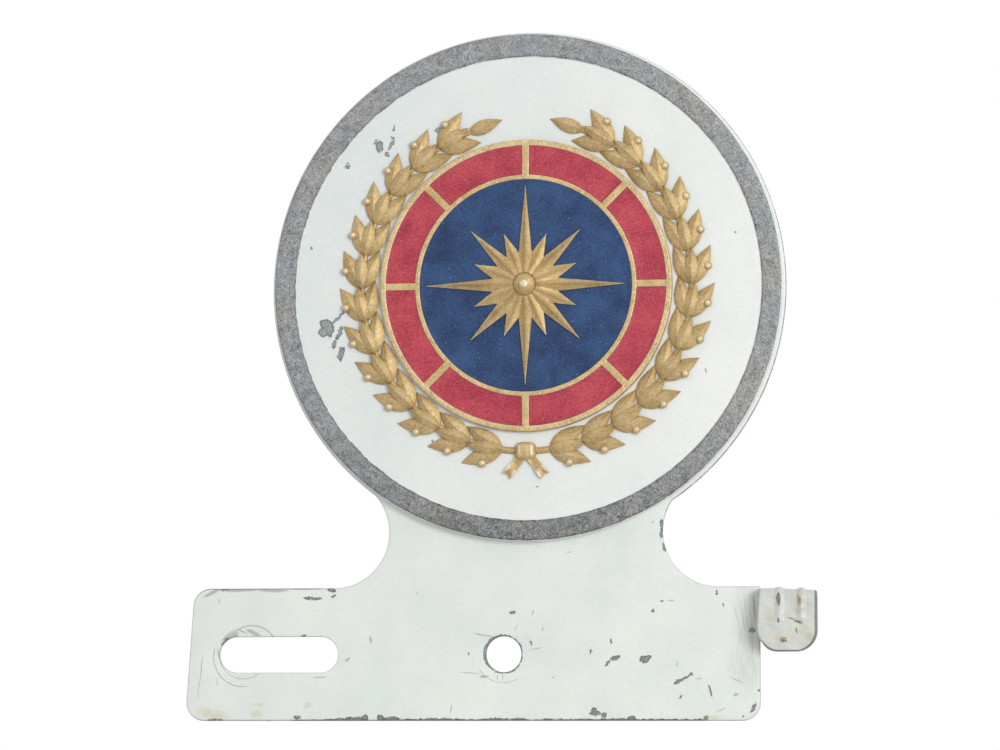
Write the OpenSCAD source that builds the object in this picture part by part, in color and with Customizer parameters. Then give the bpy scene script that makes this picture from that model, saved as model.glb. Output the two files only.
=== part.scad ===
// License plate topper: a pressed steel bracket that carries a round enamelled badge above the plate.
// The origin is on the axis of the middle hole, in the front face of the bar. +X is to the right as seen
// from the front, +Z is up and the badge looks along -Y.

/* [Sheet] */
// Thickness of the pressed steel
sheet_t = 1.6; // [1.2:0.1:2.2]

/* [Bar] */
// From the middle hole to the slotted end
bar_left = 64.1; // [60:0.1:72]
// From the middle hole to the hook end
bar_right = 50.7; // [47:0.1:60]
// From the middle hole up to the top edge
bar_up = 13.2; // [11:0.1:16]
// From the middle hole down to the bottom edge
bar_down = 13.1; // [11:0.1:16]
// How far the slotted end leans in at its top
end_lean = 1.7; // [0:0.1:3]
// Corner radius of the bar
corner_r = 3.6; // [1:0.1:5]
// Diameter of the middle hole
hole_d = 7.1; // [5:0.1:9]
// From the middle hole to the middle of the slot
slot_x = 45.2; // [42:0.1:47]
// Length of the slot over its round ends
slot_len = 24; // [14:0.1:28]
// Width of the slot
slot_w = 7.1; // [5:0.1:9]

/* [Neck and head] */
// From the middle hole to the narrowest place of the neck's left side
neck_left = 23; // [18:0.1:27]
// From the middle hole to the narrowest place of the neck's right side
neck_right = 31.6; // [27:0.1:36]
// Radius of the hollow on each side of the neck
hollow_r = 11; // [9:0.1:12]
// Middle of the head, to the right of the middle hole
head_x = 4.75; // [3:0.05:6.5]
// Middle of the head, above the middle hole
head_z = 73; // [72:0.1:74.5]
// Radius of the head
head_r = 51.8; // [51.4:0.1:53.5]

/* [Hook] */
// Width of the ear and of the tongue folded over it
hook_w = 11.2; // [9.5:0.1:14]
// From the bar's top edge down to the top of the fold
hook_step = 0.4; // [0.1:0.1:1]
// Height of the tongue from the fold to its tip
hook_h = 12.4; // [11:0.1:16]
// From the front face of the bar to the front face of the tongue
hook_reach = 4.5; // [4:0.1:7]
// Radius of the tongue's and the ear's lower corners
hook_tip_r = 4.2; // [2:0.1:4.6]
// Radius inside both bends of the fold
bend_in_r = 0.3; // [0.2:0.1:0.6]
// Spacing of the two stiffening beads pressed into the fold
bead_pitch = 4.3; // [3.6:0.1:5]
// How far the pair of beads sits to the right of the tongue's middle
bead_shift = 0.5; // [0:0.1:0.8]
// Width of a bead
bead_w = 1.3; // [0.8:0.1:1.8]
// Height of a bead above the sheet
bead_proud = 0.35; // [0.2:0.05:0.6]
// Length of a bead down the tongue
bead_down = 6.6; // [4:0.1:7.5]
// Length of a bead over the top of the fold
bead_back = 3; // [2.4:0.1:3.4]

/* [Disc] */
// Outer radius of the cast disc
disc_r = 50.8; // [49.5:0.1:51.3]
// Width of the bare metal rim
rim_w = 4; // [3:0.1:5]
// Height of the rim above the head
rim_h = 2.6; // [2.4:0.1:3.2]
// Thickness of the disc inside the rim
web_t = 1.9; // [1.6:0.1:2]
// Thickness of the white enamel in the disc's recess
field_t = 0.35; // [0.2:0.05:0.4]
// Chamfer on both edges of the rim
rim_chamfer = 0.25; // [0.1:0.05:0.35]

/* [Badge] */
// Radius of the blue ground
ground_r = 21.2; // [17:0.1:23]
// Width of the border between the blue ground and the red ring
inner_border_w = 1; // [0.8:0.1:1.6]
// Width of the red ring
red_w = 5.8; // [4:0.1:6.5]
// Width of the outer border
outer_border_w = 1.2; // [0.8:0.1:2]
// Thickness of the plate under its cells
plate_t = 0.7; // [0.5:0.05:1]
// Height of the borders and bars above the plate
wall_h = 0.6; // [0.5:0.05:1]
// Number of red cells in the ring
cells = 8; // [4:4:16]
// Width of the bars between the red cells
bar_between_w = 1.5; // [1:0.1:2.5]
// Thickness of the red and blue enamel
cell_fill_t = 0.45; // [0.3:0.05:0.5]

/* [Star] */
// Gap between a long point of the star and the border round the blue ground
star_gap = 1.2; // [0.4:0.1:3]
// From the middle of the star to a short point
star_short = 15.5; // [12:0.1:16.5]
// From the middle of the star to the small points between the others
star_small = 11; // [9:0.1:13]
// From the middle of the star to the valleys between its points
star_valley = 6.6; // [5:0.1:7.5]
// Thickness of the star at its edge
star_edge_t = 0.4; // [0.3:0.05:0.8]
// Height of the star's peak above its edge
star_rise = 1.9; // [1.6:0.1:2.6]
// Diameter of the rivet's domed head
rivet_head_d = 4.6; // [4:0.1:5.2]
// Height of the rivet's domed head
rivet_head_h = 1.3; // [0.9:0.1:2]
// Diameter of the rivet's shank
rivet_shank_d = 2; // [1.6:0.1:2.6]

/* [Laurel] */
// Gap between the badge's plate and the leaves
leaf_gap = 0.35; // [0.1:0.05:0.8]
// Width of a stem
stem_w = 1.4; // [1:0.1:2]
// Angle between the foot of the wreath and the first pair of leaves
branch_from = 8; // [6:1:14]
// Angle from the foot of the wreath within which the leaves are set
branch_to = 160; // [140:1:164]
// Distance between leaf groups along a stem
leaf_pitch = 6.7; // [6:0.1:8]
// Length of a side leaf
leaf_len = 8.8; // [7:0.1:9.5]
// Width of a side leaf
leaf_w = 3.5; // [2.8:0.1:4]
// Angle between a side leaf and the stem
leaf_splay = 25; // [18:1:30]
// Length of a leaf that lies along the stem
mid_leaf_len = 7.4; // [6:0.1:8.5]
// Width of a leaf that lies along the stem
mid_leaf_w = 2.9; // [2.2:0.1:3.4]
// Thickness of a leaf at its edge
leaf_edge_t = 0.6; // [0.4:0.05:0.8]
// Height of a leaf's rib above its edge
leaf_rise = 0.9; // [0.6:0.05:1.4]
// How much higher the leaves along the stem lie
mid_leaf_lift = 0.7; // [0.4:0.05:1]
// Radius of a berry
berry_r = 0.85; // [0.6:0.05:1]
// Diameter of the pegs behind a branch
peg_d = 1.6; // [1.2:0.1:2]
// Depth to which the pegs enter the disc
peg_in = 1.2; // [0.8:0.1:1.4]
// Angle of the pegs above and below the middle of a branch
peg_angle = 38; // [25:1:50]
// From the stem's middle line out to the berries
berry_out = 3.4; // [2.6:0.1:4]
// Clearance round the pegs and the rivet
pin_gap = 0.05; // [0.02:0.01:0.1]

/* [Tie] */
// Width of the knot that holds the stems
knot_w = 4.2; // [3.6:0.1:5]
// Height of the knot across the stems
knot_h = 3.6; // [3:0.1:4.4]
// Thickness of the knot
knot_t = 1.9; // [1.6:0.1:2.4]
// Length of each ribbon end below the knot
ribbon_len = 6.2; // [5:0.1:7.5]
// Width of the ribbon
ribbon_w = 2; // [1.6:0.1:2.6]
// Thickness of the ribbon
ribbon_t = 0.9; // [0.6:0.1:1.2]
// Angle of each ribbon end to the vertical
ribbon_angle = 38; // [30:1:50]

/* [Fixings] */
// From the plate's rim in to the middle of each stud
stud_inset = 11.4; // [8:0.1:16]
// Diameter of the studs
stud_d = 4.1; // [3:0.1:5]
// Clearance all round a stud in the disc and the head
stud_gap = 0.2; // [0.1:0.05:0.4]
// How far the studs stand out of their nuts
stud_proud = 1.6; // [0.5:0.1:4]
// Length of the chamfer on a stud's end
stud_chamfer = 0.5; // [0.2:0.1:0.8]
// Outer diameter of the flat washers
washer_d = 9.5; // [8:0.1:12]
// Thickness of the flat washers
washer_t = 0.9; // [0.5:0.1:1.5]
// Outer diameter of the spring washers
lock_d = 7.3; // [7:0.1:7.8]
// Thickness of the spring washers
lock_t = 1.2; // [0.8:0.1:1.6]
// Width of the slit in a spring washer
lock_slit = 0.8; // [0.5:0.1:1.2]
// Width of the nuts across their flats
nut_af = 8.7; // [8:0.1:10]
// Thickness of the nuts
nut_t = 3.3; // [2.4:0.1:5]
// Clearance round a stud inside its washers and nut
thread_gap = 0.05; // [0.02:0.01:0.1]

/* [Hidden] */

ROUND = 96;
HULL_ROUND = 24;
BERRY_ROUND = 8;
// Cutting bodies run this far past what they cut
past = 1;
// Pieces of one pressing run this far into each other
lap = 1;
// A stem runs on under its tip leaf by this angle
tip_lap = 3;
// The bars between the red cells end this far inside the borders
bar_tuck = 0.4;
// Depth of the rivet's pocket where it is shallowest
pocket_sink = 0.1;
// Shape of a leaf: below 1 it is widest nearer to its foot, and its rib spans this share of its length
leaf_skew = 0.8;
rib_from = 0.1;
rib_to = 0.82;
// How much a nut's corner cone widens along its height
nut_bevel = 1.7;

bend_out_r = bend_in_r + sheet_t;
hook_top = bar_up - hook_step;
hook_tip = hook_top - hook_h;
bend_z = hook_top - bend_out_r;

rim_in_r = disc_r - rim_w;
field_z = web_t + field_t;
cell_floor_z = field_z + plate_t;
border_z = cell_floor_z + wall_h;
fill_z = cell_floor_z + cell_fill_t;
ring_in_r = ground_r + inner_border_w;
ring_out_r = ring_in_r + red_w;
plate_r = ring_out_r + outer_border_w;
star_long = ground_r - star_gap;
// The stems' middle line lies so far out that the side leaves clear the plate at their widest place
stem_r = plate_r + leaf_gap + leaf_len / 2 * sin(leaf_splay) + leaf_w / 2 * cos(leaf_splay);

// The rivet's head sits in a pocket of the star, sunk a little below the star's valleys
pocket_r = rivet_head_d / 2 + pin_gap;
rivet_seat_z = fill_z + star_edge_t + star_rise * (1 - pocket_r / star_valley) - pocket_sink;

// As many leaf groups as fit, each a pitch along the stem, and the tip leaf after the last of them
leaf_step = leaf_pitch / stem_r * 180 / PI;
leaf_rows = floor((branch_to - branch_from) / leaf_step);
tip_angle = branch_from + leaf_rows * leaf_step;

stud_x = plate_r - stud_inset;
stud_back_z = -sheet_t - washer_t - lock_t - nut_t - stud_proud;

// The bar's leaning left end
bar_h = bar_up + bar_down;
end_len = sqrt(bar_h * bar_h + end_lean * end_lean);
// Middles of the bar's corner circles, each touching both edges of its corner
low_left = [end_corner_x(corner_r - bar_down), corner_r - bar_down];
high_left = [end_corner_x(bar_up - corner_r), bar_up - corner_r];
low_right = [bar_right - corner_r, corner_r - bar_down];

// Middles of the neck's hollows, each touching the bar's top edge
hollow_z = bar_up + hollow_r;
hollow_left = [-neck_left - hollow_r, hollow_z];
hollow_right = [neck_right + hollow_r, hollow_z];

function end_corner_x(z) = -bar_left + end_lean * (z + bar_down) / bar_h + corner_r * end_len / bar_h;
function polar(r, a) = [r * cos(a), r * sin(a)];

// Puts children on the front of the badge: their +Z points out of the front, their +Y is up
module facing() {
    rotate([90, 0, 0]) children();
}

// The same, with the middle of the head as the origin
module on_head() {
    translate([head_x, 0, head_z]) facing() children();
}

// One copy at each stud
module each_stud() {
    for (side = [-1, 1]) {
        translate([side * stud_x, 0, 0]) children();
    }
}

// Flat ring between two radii, from z0 to z1
module ring(r_in, r_out, z0, z1) {
    translate([0, 0, z0]) difference() {
        cylinder(r = r_out, h = z1 - z0, $fn = ROUND);
        translate([0, 0, -past]) cylinder(r = r_in, h = z1 - z0 + 2 * past, $fn = ROUND);
    }
}

// The bar, with a leaning left end and three round corners
module bar_outline() {
    reach = corner_r * [-bar_h, end_lean] / end_len;
    polygon([
        low_left + [0, -corner_r], low_left + reach, high_left + reach, high_left + [0, corner_r],
        [bar_right, bar_up], low_right + [corner_r, 0], low_right + [0, -corner_r]
    ]);
    for (middle = [low_left, high_left, low_right]) {
        translate(middle) circle(r = corner_r, $fn = ROUND);
    }
}

// The neck, which runs up into the head between its two hollows
module neck_outline() {
    difference() {
        polygon([
            [hollow_left[0], bar_up - lap], hollow_left, [head_x, head_z], hollow_right,
            [hollow_right[0], bar_up - lap]
        ]);
        for (middle = [hollow_left, hollow_right]) {
            translate(middle) circle(r = hollow_r, $fn = ROUND);
        }
    }
}

// The slot in the bar, lengthways
module slot_outline() {
    half = (slot_len - slot_w) / 2;
    translate([-slot_x - half, -slot_w / 2]) square([2 * half, slot_w]);
    for (side = [-1, 1]) {
        translate([-slot_x + side * half, 0]) circle(d = slot_w, $fn = ROUND);
    }
}

// The ear beside the bar, below the bends, with one round corner
module ear_outline() {
    right = bar_right + hook_w;
    translate([bar_right - lap, hook_tip + hook_tip_r]) {
        square([hook_w + lap, bend_z - hook_tip - hook_tip_r]);
    }
    translate([bar_right - lap, hook_tip]) square([hook_w + lap - hook_tip_r, hook_tip_r + lap]);
    translate([right - hook_tip_r, hook_tip + hook_tip_r]) circle(r = hook_tip_r, $fn = ROUND);
}

// The tongue in front of the ear, below the bends, with two round corners
module tongue_outline() {
    translate([bar_right, hook_tip + hook_tip_r]) square([hook_w, bend_z - hook_tip - hook_tip_r]);
    translate([bar_right + hook_tip_r, hook_tip]) square([hook_w - 2 * hook_tip_r, hook_tip_r + lap]);
    for (x = [hook_tip_r, hook_w - hook_tip_r]) {
        translate([bar_right + x, hook_tip + hook_tip_r]) circle(r = hook_tip_r, $fn = ROUND);
    }
}

// Side view of an arch with round shoulders; x is depth, y is height
module arch_outline(front, back, low, top, shoulder_r) {
    translate([front, low]) square([back - front, top - shoulder_r - low]);
    translate([front + shoulder_r, low]) square([back - front - 2 * shoulder_r, top - low]);
    for (x = [front + shoulder_r, back - shoulder_r]) {
        translate([x, top - shoulder_r]) circle(r = shoulder_r, $fn = ROUND);
    }
}

// The fold from ear to tongue, grown by proud all round, between two heights and over a width
module fold(x, width, low, proud) {
    translate([x, 0, 0]) rotate([90, 0, 90]) linear_extrude(width) difference() {
        arch_outline(-hook_reach - proud, sheet_t + proud, low, hook_top + proud, bend_out_r + proud);
        arch_outline(sheet_t - hook_reach, 0, low - past, hook_top - sheet_t, bend_in_r);
    }
}

// A bead over the front bend, as seen from the front: a bar with a round lower end
module bead(x) {
    low = hook_top - bead_down + bead_w / 2;
    intersection() {
        fold(x - bead_w / 2, bead_w, low - bead_w, bead_proud);
        translate([0, bead_back - hook_reach, 0]) rotate([90, 0, 0]) {
            linear_extrude(bead_back + bead_proud + past) {
                translate([x - bead_w / 2, low]) square([bead_w, bead_down + past]);
                translate([x, low]) circle(d = bead_w, $fn = ROUND);
            }
        }
    }
}

// A leaf from its foot at the origin along +Y: a lens with a rib, widest a little below its middle
module leaf(length, width, z) {
    steps = 5;
    rib_w = 0.2;
    edge = [for (i = [0:steps]) [width / 2 * sin(180 * pow(i / steps, leaf_skew)), length * i / steps]];
    mirrored = [for (i = [steps - 1:-1:1]) [-edge[i][0], edge[i][1]]];
    translate([0, 0, z]) hull() {
        linear_extrude(leaf_edge_t) polygon(concat(edge, mirrored));
        translate([-rib_w / 2, length * rib_from, 0]) {
            cube([rib_w, length * (rib_to - rib_from), leaf_edge_t + leaf_rise]);
        }
    }
}

// Puts children on the stem's middle line at an angle from the foot of the wreath, +Y along the stem
module on_stem(angle) {
    rotate([0, 0, angle - 90]) translate([stem_r, 0, 0]) children();
}

// The branch on the right: stem, leaves in threes, berries between them and two pegs behind
module branch() {
    stem_from = asin(knot_w / 2 / stem_r);
    rotate([0, 0, stem_from - 90]) rotate_extrude(angle = tip_angle + tip_lap - stem_from, $fn = ROUND) {
        translate([stem_r - stem_w / 2, field_z]) square([stem_w, leaf_edge_t]);
    }
    for (i = [0:leaf_rows - 1]) {
        on_stem(branch_from + i * leaf_step) {
            for (side = [-1, 1]) {
                rotate([0, 0, side * leaf_splay]) leaf(leaf_len, leaf_w, field_z);
            }
            leaf(mid_leaf_len, mid_leaf_w, field_z + mid_leaf_lift);
        }
        on_stem(branch_from + (i + 0.5) * leaf_step) {
            translate([berry_out, 0, field_z + leaf_edge_t]) sphere(r = berry_r, $fn = BERRY_ROUND);
        }
    }
    on_stem(tip_angle) leaf(mid_leaf_len, mid_leaf_w, field_z);
    each_peg() cylinder(d = peg_d, h = peg_in + field_t + leaf_edge_t, $fn = HULL_ROUND);
}

// One copy at each peg of the branch on the right, from the bottom of the peg's hole
module each_peg() {
    for (angle = [-peg_angle, peg_angle]) {
        on_stem((branch_from + branch_to) / 2 + angle) {
            translate([0, 0, web_t - peg_in]) children();
        }
    }
}

// Holes in the disc and its enamel: right through for the studs, blind for the pegs
module badge_holes() {
    each_stud() translate([0, 0, -past]) {
        cylinder(r = stud_d / 2 + stud_gap, h = field_z + 2 * past, $fn = ROUND);
    }
    for (side = [0, 1]) {
        mirror([side, 0, 0]) each_peg() {
            cylinder(r = peg_d / 2 + pin_gap, h = peg_in + field_t + past, $fn = ROUND);
        }
    }
}

// The bars between the red cells, between two heights
module bars_between(z0, z1) {
    length = ring_out_r - ring_in_r + 2 * bar_tuck;
    for (i = [0:cells - 1]) {
        rotate([0, 0, i * 360 / cells]) translate([ring_in_r - bar_tuck, -bar_between_w / 2, z0]) {
            cube([length, bar_between_w, z1 - z0]);
        }
    }
}

// Steel pressing: bar, neck, head and the ear with its folded tongue
module bracket() {
    hook_middle = bar_right + hook_w / 2 + bead_shift;
    color("gainsboro") difference() {
        union() {
            facing() translate([0, 0, -sheet_t]) linear_extrude(sheet_t) difference() {
                union() {
                    bar_outline();
                    neck_outline();
                    translate([head_x, head_z]) circle(r = head_r, $fn = ROUND);
                    ear_outline();
                }
                slot_outline();
            }
            fold(bar_right, hook_w, bend_z - lap, 0);
            translate([0, sheet_t - hook_reach, 0]) facing() linear_extrude(sheet_t) tongue_outline();
            for (side = [-1, 1]) {
                bead(hook_middle + side * bead_pitch / 2);
            }
        }
        facing() translate([0, 0, -sheet_t - past]) {
            cylinder(d = hole_d, h = sheet_t + 2 * past, $fn = ROUND);
        }
        on_head() each_stud() translate([0, 0, -sheet_t - past]) {
            cylinder(r = stud_d / 2 + stud_gap, h = sheet_t + 2 * past, $fn = ROUND);
        }
    }
}

// Cast disc with a raised rim and a shallow recess
module disc_casting() {
    color("dimgray") on_head() difference() {
        rotate_extrude($fn = ROUND) polygon([
            [0, 0], [disc_r, 0], [disc_r, rim_h - rim_chamfer], [disc_r - rim_chamfer, rim_h],
            [rim_in_r + rim_chamfer, rim_h], [rim_in_r, rim_h - rim_chamfer], [rim_in_r, web_t], [0, web_t]
        ]);
        badge_holes();
    }
}

// White field inside the rim
module white_enamel() {
    color("white") on_head() difference() {
        translate([0, 0, web_t]) cylinder(r = rim_in_r, h = field_t, $fn = ROUND);
        badge_holes();
    }
}

// Round plate of the badge with raised borders and bars
module medallion_base() {
    color("goldenrod") on_head() difference() {
        union() {
            translate([0, 0, field_z]) cylinder(r = plate_r, h = plate_t, $fn = ROUND);
            ring(ring_out_r, plate_r, field_z, border_z);
            ring(ground_r, ring_in_r, field_z, border_z);
            bars_between(field_z, border_z);
        }
        translate([0, 0, field_z - past]) {
            cylinder(r = rivet_shank_d / 2 + pin_gap, h = plate_t + 2 * past, $fn = ROUND);
        }
    }
}

// Blue ground inside the inner border
module navy_enamel() {
    color("midnightblue") on_head() ring(rivet_shank_d / 2 + pin_gap, ground_r, cell_floor_z, fill_z);
}

// Red cells between the two borders
module red_enamel() {
    color("crimson") on_head() difference() {
        ring(ring_in_r, ring_out_r, cell_floor_z, fill_z);
        bars_between(cell_floor_z - past, fill_z + past);
    }
}

// Star with long, short and small points, faceted up to a peak that a pocket and a hole open for the rivet
module compass_star() {
    turn = [
        star_long, star_valley, star_small, star_valley,
        star_short, star_valley, star_small, star_valley
    ];
    reaches = [for (quarter = [1:4]) each turn];
    sides = len(reaches);
    edge_z = fill_z + star_edge_t;
    hole_r = rivet_shank_d / 2 + pin_gap;
    // Radius and height along each ray: up the edge, over the facets, into the pocket, down the hole
    rings = [
        [for (r = reaches) [r, fill_z]],
        [for (r = reaches) [r, edge_z]],
        [for (r = reaches) [pocket_r, edge_z + star_rise * (1 - pocket_r / r)]],
        [for (r = reaches) [pocket_r, rivet_seat_z]],
        [for (r = reaches) [hole_r, rivet_seat_z]],
        [for (r = reaches) [hole_r, fill_z]]
    ];
    color("gold") on_head() polyhedron(
        points = [
            for (ring = rings) for (i = [0:sides - 1]) concat(polar(ring[i][0], i * 360 / sides), ring[i][1])
        ],
        faces = [
            for (k = [0:len(rings) - 1]) for (i = [0:sides - 1])
                let (near = k * sides, far = (k + 1) % len(rings) * sides, j = (i + 1) % sides)
                each [[near + i, far + i, near + j], [far + i, far + j, near + j]]
        ]
    );
}

// Domed rivet through star, blue ground and plate
module star_rivet() {
    half = rivet_head_d / 2;
    dome_r = (half * half + rivet_head_h * rivet_head_h) / (2 * rivet_head_h);
    color("gold") on_head() {
        translate([0, 0, field_z]) {
            cylinder(d = rivet_shank_d, h = rivet_seat_z - field_z + rivet_head_h / 2, $fn = ROUND);
        }
        intersection() {
            translate([0, 0, rivet_seat_z + rivet_head_h - dome_r]) sphere(r = dome_r, $fn = ROUND);
            translate([0, 0, rivet_seat_z]) cylinder(r = dome_r, h = rivet_head_h, $fn = ROUND);
        }
    }
}

module laurel_right() {
    color("goldenrod") on_head() branch();
}

module laurel_left() {
    color("goldenrod") on_head() mirror([1, 0, 0]) branch();
}

// Knot between the feet of the branches, with two ribbon ends below it
module wreath_tie() {
    notch = ribbon_w / 2;
    knot_shoulder = 0.5;
    color("gold") on_head() translate([0, -stem_r, field_z]) {
        for (side = [-1, 1]) {
            rotate([0, 0, side * ribbon_angle]) linear_extrude(ribbon_t) polygon([
                [-ribbon_w / 2, 0], [-ribbon_w / 2, -ribbon_len], [0, notch - ribbon_len],
                [ribbon_w / 2, -ribbon_len], [ribbon_w / 2, 0]
            ]);
        }
        hull() {
            translate([-knot_w / 2, -knot_h / 2, 0]) cube([knot_w, knot_h, knot_t - knot_shoulder]);
            translate([knot_shoulder - knot_w / 2, knot_shoulder - knot_h / 2, 0]) {
                cube([knot_w - 2 * knot_shoulder, knot_h - 2 * knot_shoulder, knot_t]);
            }
        }
    }
}

// Two posts on the back of the plate
module medallion_studs() {
    r = stud_d / 2;
    color("silver") on_head() each_stud() rotate_extrude($fn = ROUND) polygon([
        [0, stud_back_z], [r - stud_chamfer, stud_back_z], [r, stud_back_z + stud_chamfer],
        [r, field_z], [0, field_z]
    ]);
}

// Flat washers against the back of the head
module flat_washers() {
    color("lightgray") on_head() each_stud() {
        ring(stud_d / 2 + thread_gap, washer_d / 2, -sheet_t - washer_t, -sheet_t);
    }
}

// Spring washers, each slit on one side
module lock_washers() {
    top = -sheet_t - washer_t;
    color("gray") on_head() each_stud() difference() {
        ring(stud_d / 2 + thread_gap, lock_d / 2, top - lock_t, top);
        translate([0, -lock_slit / 2, top - lock_t - past]) cube([lock_d, lock_slit, lock_t + 2 * past]);
    }
}

// Hexagon nuts, with corners turned down on the outer face
module stud_nuts() {
    top = -sheet_t - washer_t - lock_t;
    corner = nut_af / 2 / cos(30);
    color("silver") on_head() each_stud() translate([0, 0, top - nut_t]) difference() {
        intersection() {
            cylinder(r = corner, h = nut_t, $fn = 6);
            cylinder(r1 = nut_af / 2, r2 = nut_af / 2 + nut_t * nut_bevel, h = nut_t, $fn = ROUND);
        }
        translate([0, 0, -past]) cylinder(r = stud_d / 2 + thread_gap, h = nut_t + 2 * past, $fn = ROUND);
    }
}

bracket();
disc_casting();
white_enamel();
medallion_base();
navy_enamel();
red_enamel();
compass_star();
star_rivet();
laurel_left();
laurel_right();
wreath_tie();
medallion_studs();
flat_washers();
lock_washers();
stud_nuts();
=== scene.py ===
# License plate topper: painted steel bracket with a round enamelled badge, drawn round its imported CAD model.
# The model's own frame, in metres: the badge looks along -Y and the bar's middle hole is at the origin.
from functools import partial
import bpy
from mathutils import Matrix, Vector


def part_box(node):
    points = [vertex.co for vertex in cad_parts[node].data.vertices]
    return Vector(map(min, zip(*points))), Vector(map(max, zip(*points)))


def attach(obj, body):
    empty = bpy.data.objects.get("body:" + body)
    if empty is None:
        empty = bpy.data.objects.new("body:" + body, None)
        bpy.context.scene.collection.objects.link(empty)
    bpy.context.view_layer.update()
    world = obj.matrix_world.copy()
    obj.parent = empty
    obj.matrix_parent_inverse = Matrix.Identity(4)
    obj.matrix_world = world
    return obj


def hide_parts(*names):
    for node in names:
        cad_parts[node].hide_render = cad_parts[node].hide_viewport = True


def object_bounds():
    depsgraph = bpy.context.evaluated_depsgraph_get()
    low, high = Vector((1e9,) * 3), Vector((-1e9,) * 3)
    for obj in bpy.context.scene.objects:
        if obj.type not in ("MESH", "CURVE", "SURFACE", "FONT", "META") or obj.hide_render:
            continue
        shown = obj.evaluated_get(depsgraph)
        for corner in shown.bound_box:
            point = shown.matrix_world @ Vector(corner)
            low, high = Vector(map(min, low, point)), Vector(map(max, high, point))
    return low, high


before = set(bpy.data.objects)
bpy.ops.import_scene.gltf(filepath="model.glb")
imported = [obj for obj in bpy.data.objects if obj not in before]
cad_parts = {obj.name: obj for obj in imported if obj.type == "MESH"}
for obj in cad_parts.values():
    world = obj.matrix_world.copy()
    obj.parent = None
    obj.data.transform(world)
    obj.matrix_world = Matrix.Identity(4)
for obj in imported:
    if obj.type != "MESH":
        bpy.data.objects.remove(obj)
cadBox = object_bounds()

from types import SimpleNamespace

import bmesh
import bpy
import numpy as np
from mathutils import Matrix, Vector
from mathutils.geometry import tessellate_polygon
from numpy import cos, pi, sin

mm = 0.001
discSteps, plateSteps, smallSteps = 360, 288, 72  # columns round the disc, the badge's plate and small parts


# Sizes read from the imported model, in millimetres
def spanOf(node):
    # lowest and highest corner of a CAD node, in millimetres
    low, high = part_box(node)
    return np.array(low) / mm, np.array(high) / mm


discLow, discHigh = spanOf("disc_casting")
enamelLow, enamelHigh = spanOf("white_enamel")
plateLow, plateHigh = spanOf("medallion_base")
navyLow, navyHigh = spanOf("navy_enamel")
headX = (discLow[0] + discHigh[0]) / 2
headZ = (discLow[2] + discHigh[2]) / 2
discR = (discHigh[0] - discLow[0]) / 2
rimInR = (enamelHigh[0] - enamelLow[0]) / 2
rimH = -discLow[1]
webT = -enamelHigh[1]
fieldZ = -enamelLow[1]
plateR = (plateHigh[0] - plateLow[0]) / 2
borderZ = -plateLow[1]
groundR = (navyHigh[0] - navyLow[0]) / 2
fillZ = -navyLow[1]
floorZ = -navyHigh[1]
print("frame read: head at", round(headX, 2), round(headZ, 2), "disc radius", round(discR, 2))


# Shapes: a grid is an array (rows, columns, 3) in millimetres, a part is its points and faces
def gridPart(grid, wrapRows=False, caps=False):
    # joins each point to its neighbours in the next row and column, the last column to the first; caps are
    # fans to the end rows' means
    rows, columns = grid.shape[:2]
    r, c = np.meshgrid(np.arange(rows if wrapRows else rows - 1), np.arange(columns), indexing="ij")
    r2 = (r + 1) % rows
    c2 = (c + 1) % columns
    quads = np.stack([r * columns + c, r * columns + c2, r2 * columns + c2, r2 * columns + c], -1)
    points = grid.reshape(-1, 3)
    faces = quads.reshape(-1, 4).tolist()
    if caps:
        around = np.arange(columns)
        for row in (0, rows - 1):
            fan = np.stack([row * columns + around, row * columns + (around + 1) % columns], -1)
            middle = np.full((columns, 1), len(points))
            faces += np.hstack([fan, middle]).tolist()
            points = np.vstack([points, grid[row].mean(0)])
    return points, faces


def joined(parts):
    # several parts as one, each one's faces counted on from the part before
    points, faces, start = [], [], 0
    for p, f in parts:
        points.append(p)
        faces += [[i + start for i in face] for face in f]
        start += len(p)
    return np.vstack(points), faces


def cappedPart(pieces):
    # grids with their crest fields as one part with capped ends; the field is 0.3 in the middle of each cap
    part = joined([gridPart(grid, caps=True) for grid, crest in pieces])
    return part, np.concatenate([np.append(crest, [0.3, 0.3]) for grid, crest in pieces])


def onHead(p):
    # from the badge's own axes (right, up, out of the front) to the model's
    p = np.asarray(p, float)
    return np.stack([headX + p[..., 0], -p[..., 2], headZ + p[..., 1]], -1)


def polar(radius, angle, height, aside=0):
    # points at a radius and an angle in radians round the badge's axis, at a height out of its plane, and
    # moved aside at right angles to the radius
    radius, angle, height, aside = np.broadcast_arrays(radius, angle, height, aside)
    x = radius * cos(angle) - aside * sin(angle)
    y = radius * sin(angle) + aside * cos(angle)
    return np.stack([x, y, height], -1)


def lathe(profile, columns, wobble=None, oval=None):
    # a profile of (radius, height) turned round the badge's axis; wobble is added to its height and oval
    # to its radius, both functions of radius and angle
    angle = np.linspace(0, 2 * pi, columns, endpoint=False)
    radius, height, angle = np.broadcast_arrays(profile[:, :1], profile[:, 1:], angle)
    if wobble is not None:
        height = height + wobble(radius, angle)
    if oval is not None:
        radius = radius + oval(radius, angle)
    return polar(radius, angle, height)


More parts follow.
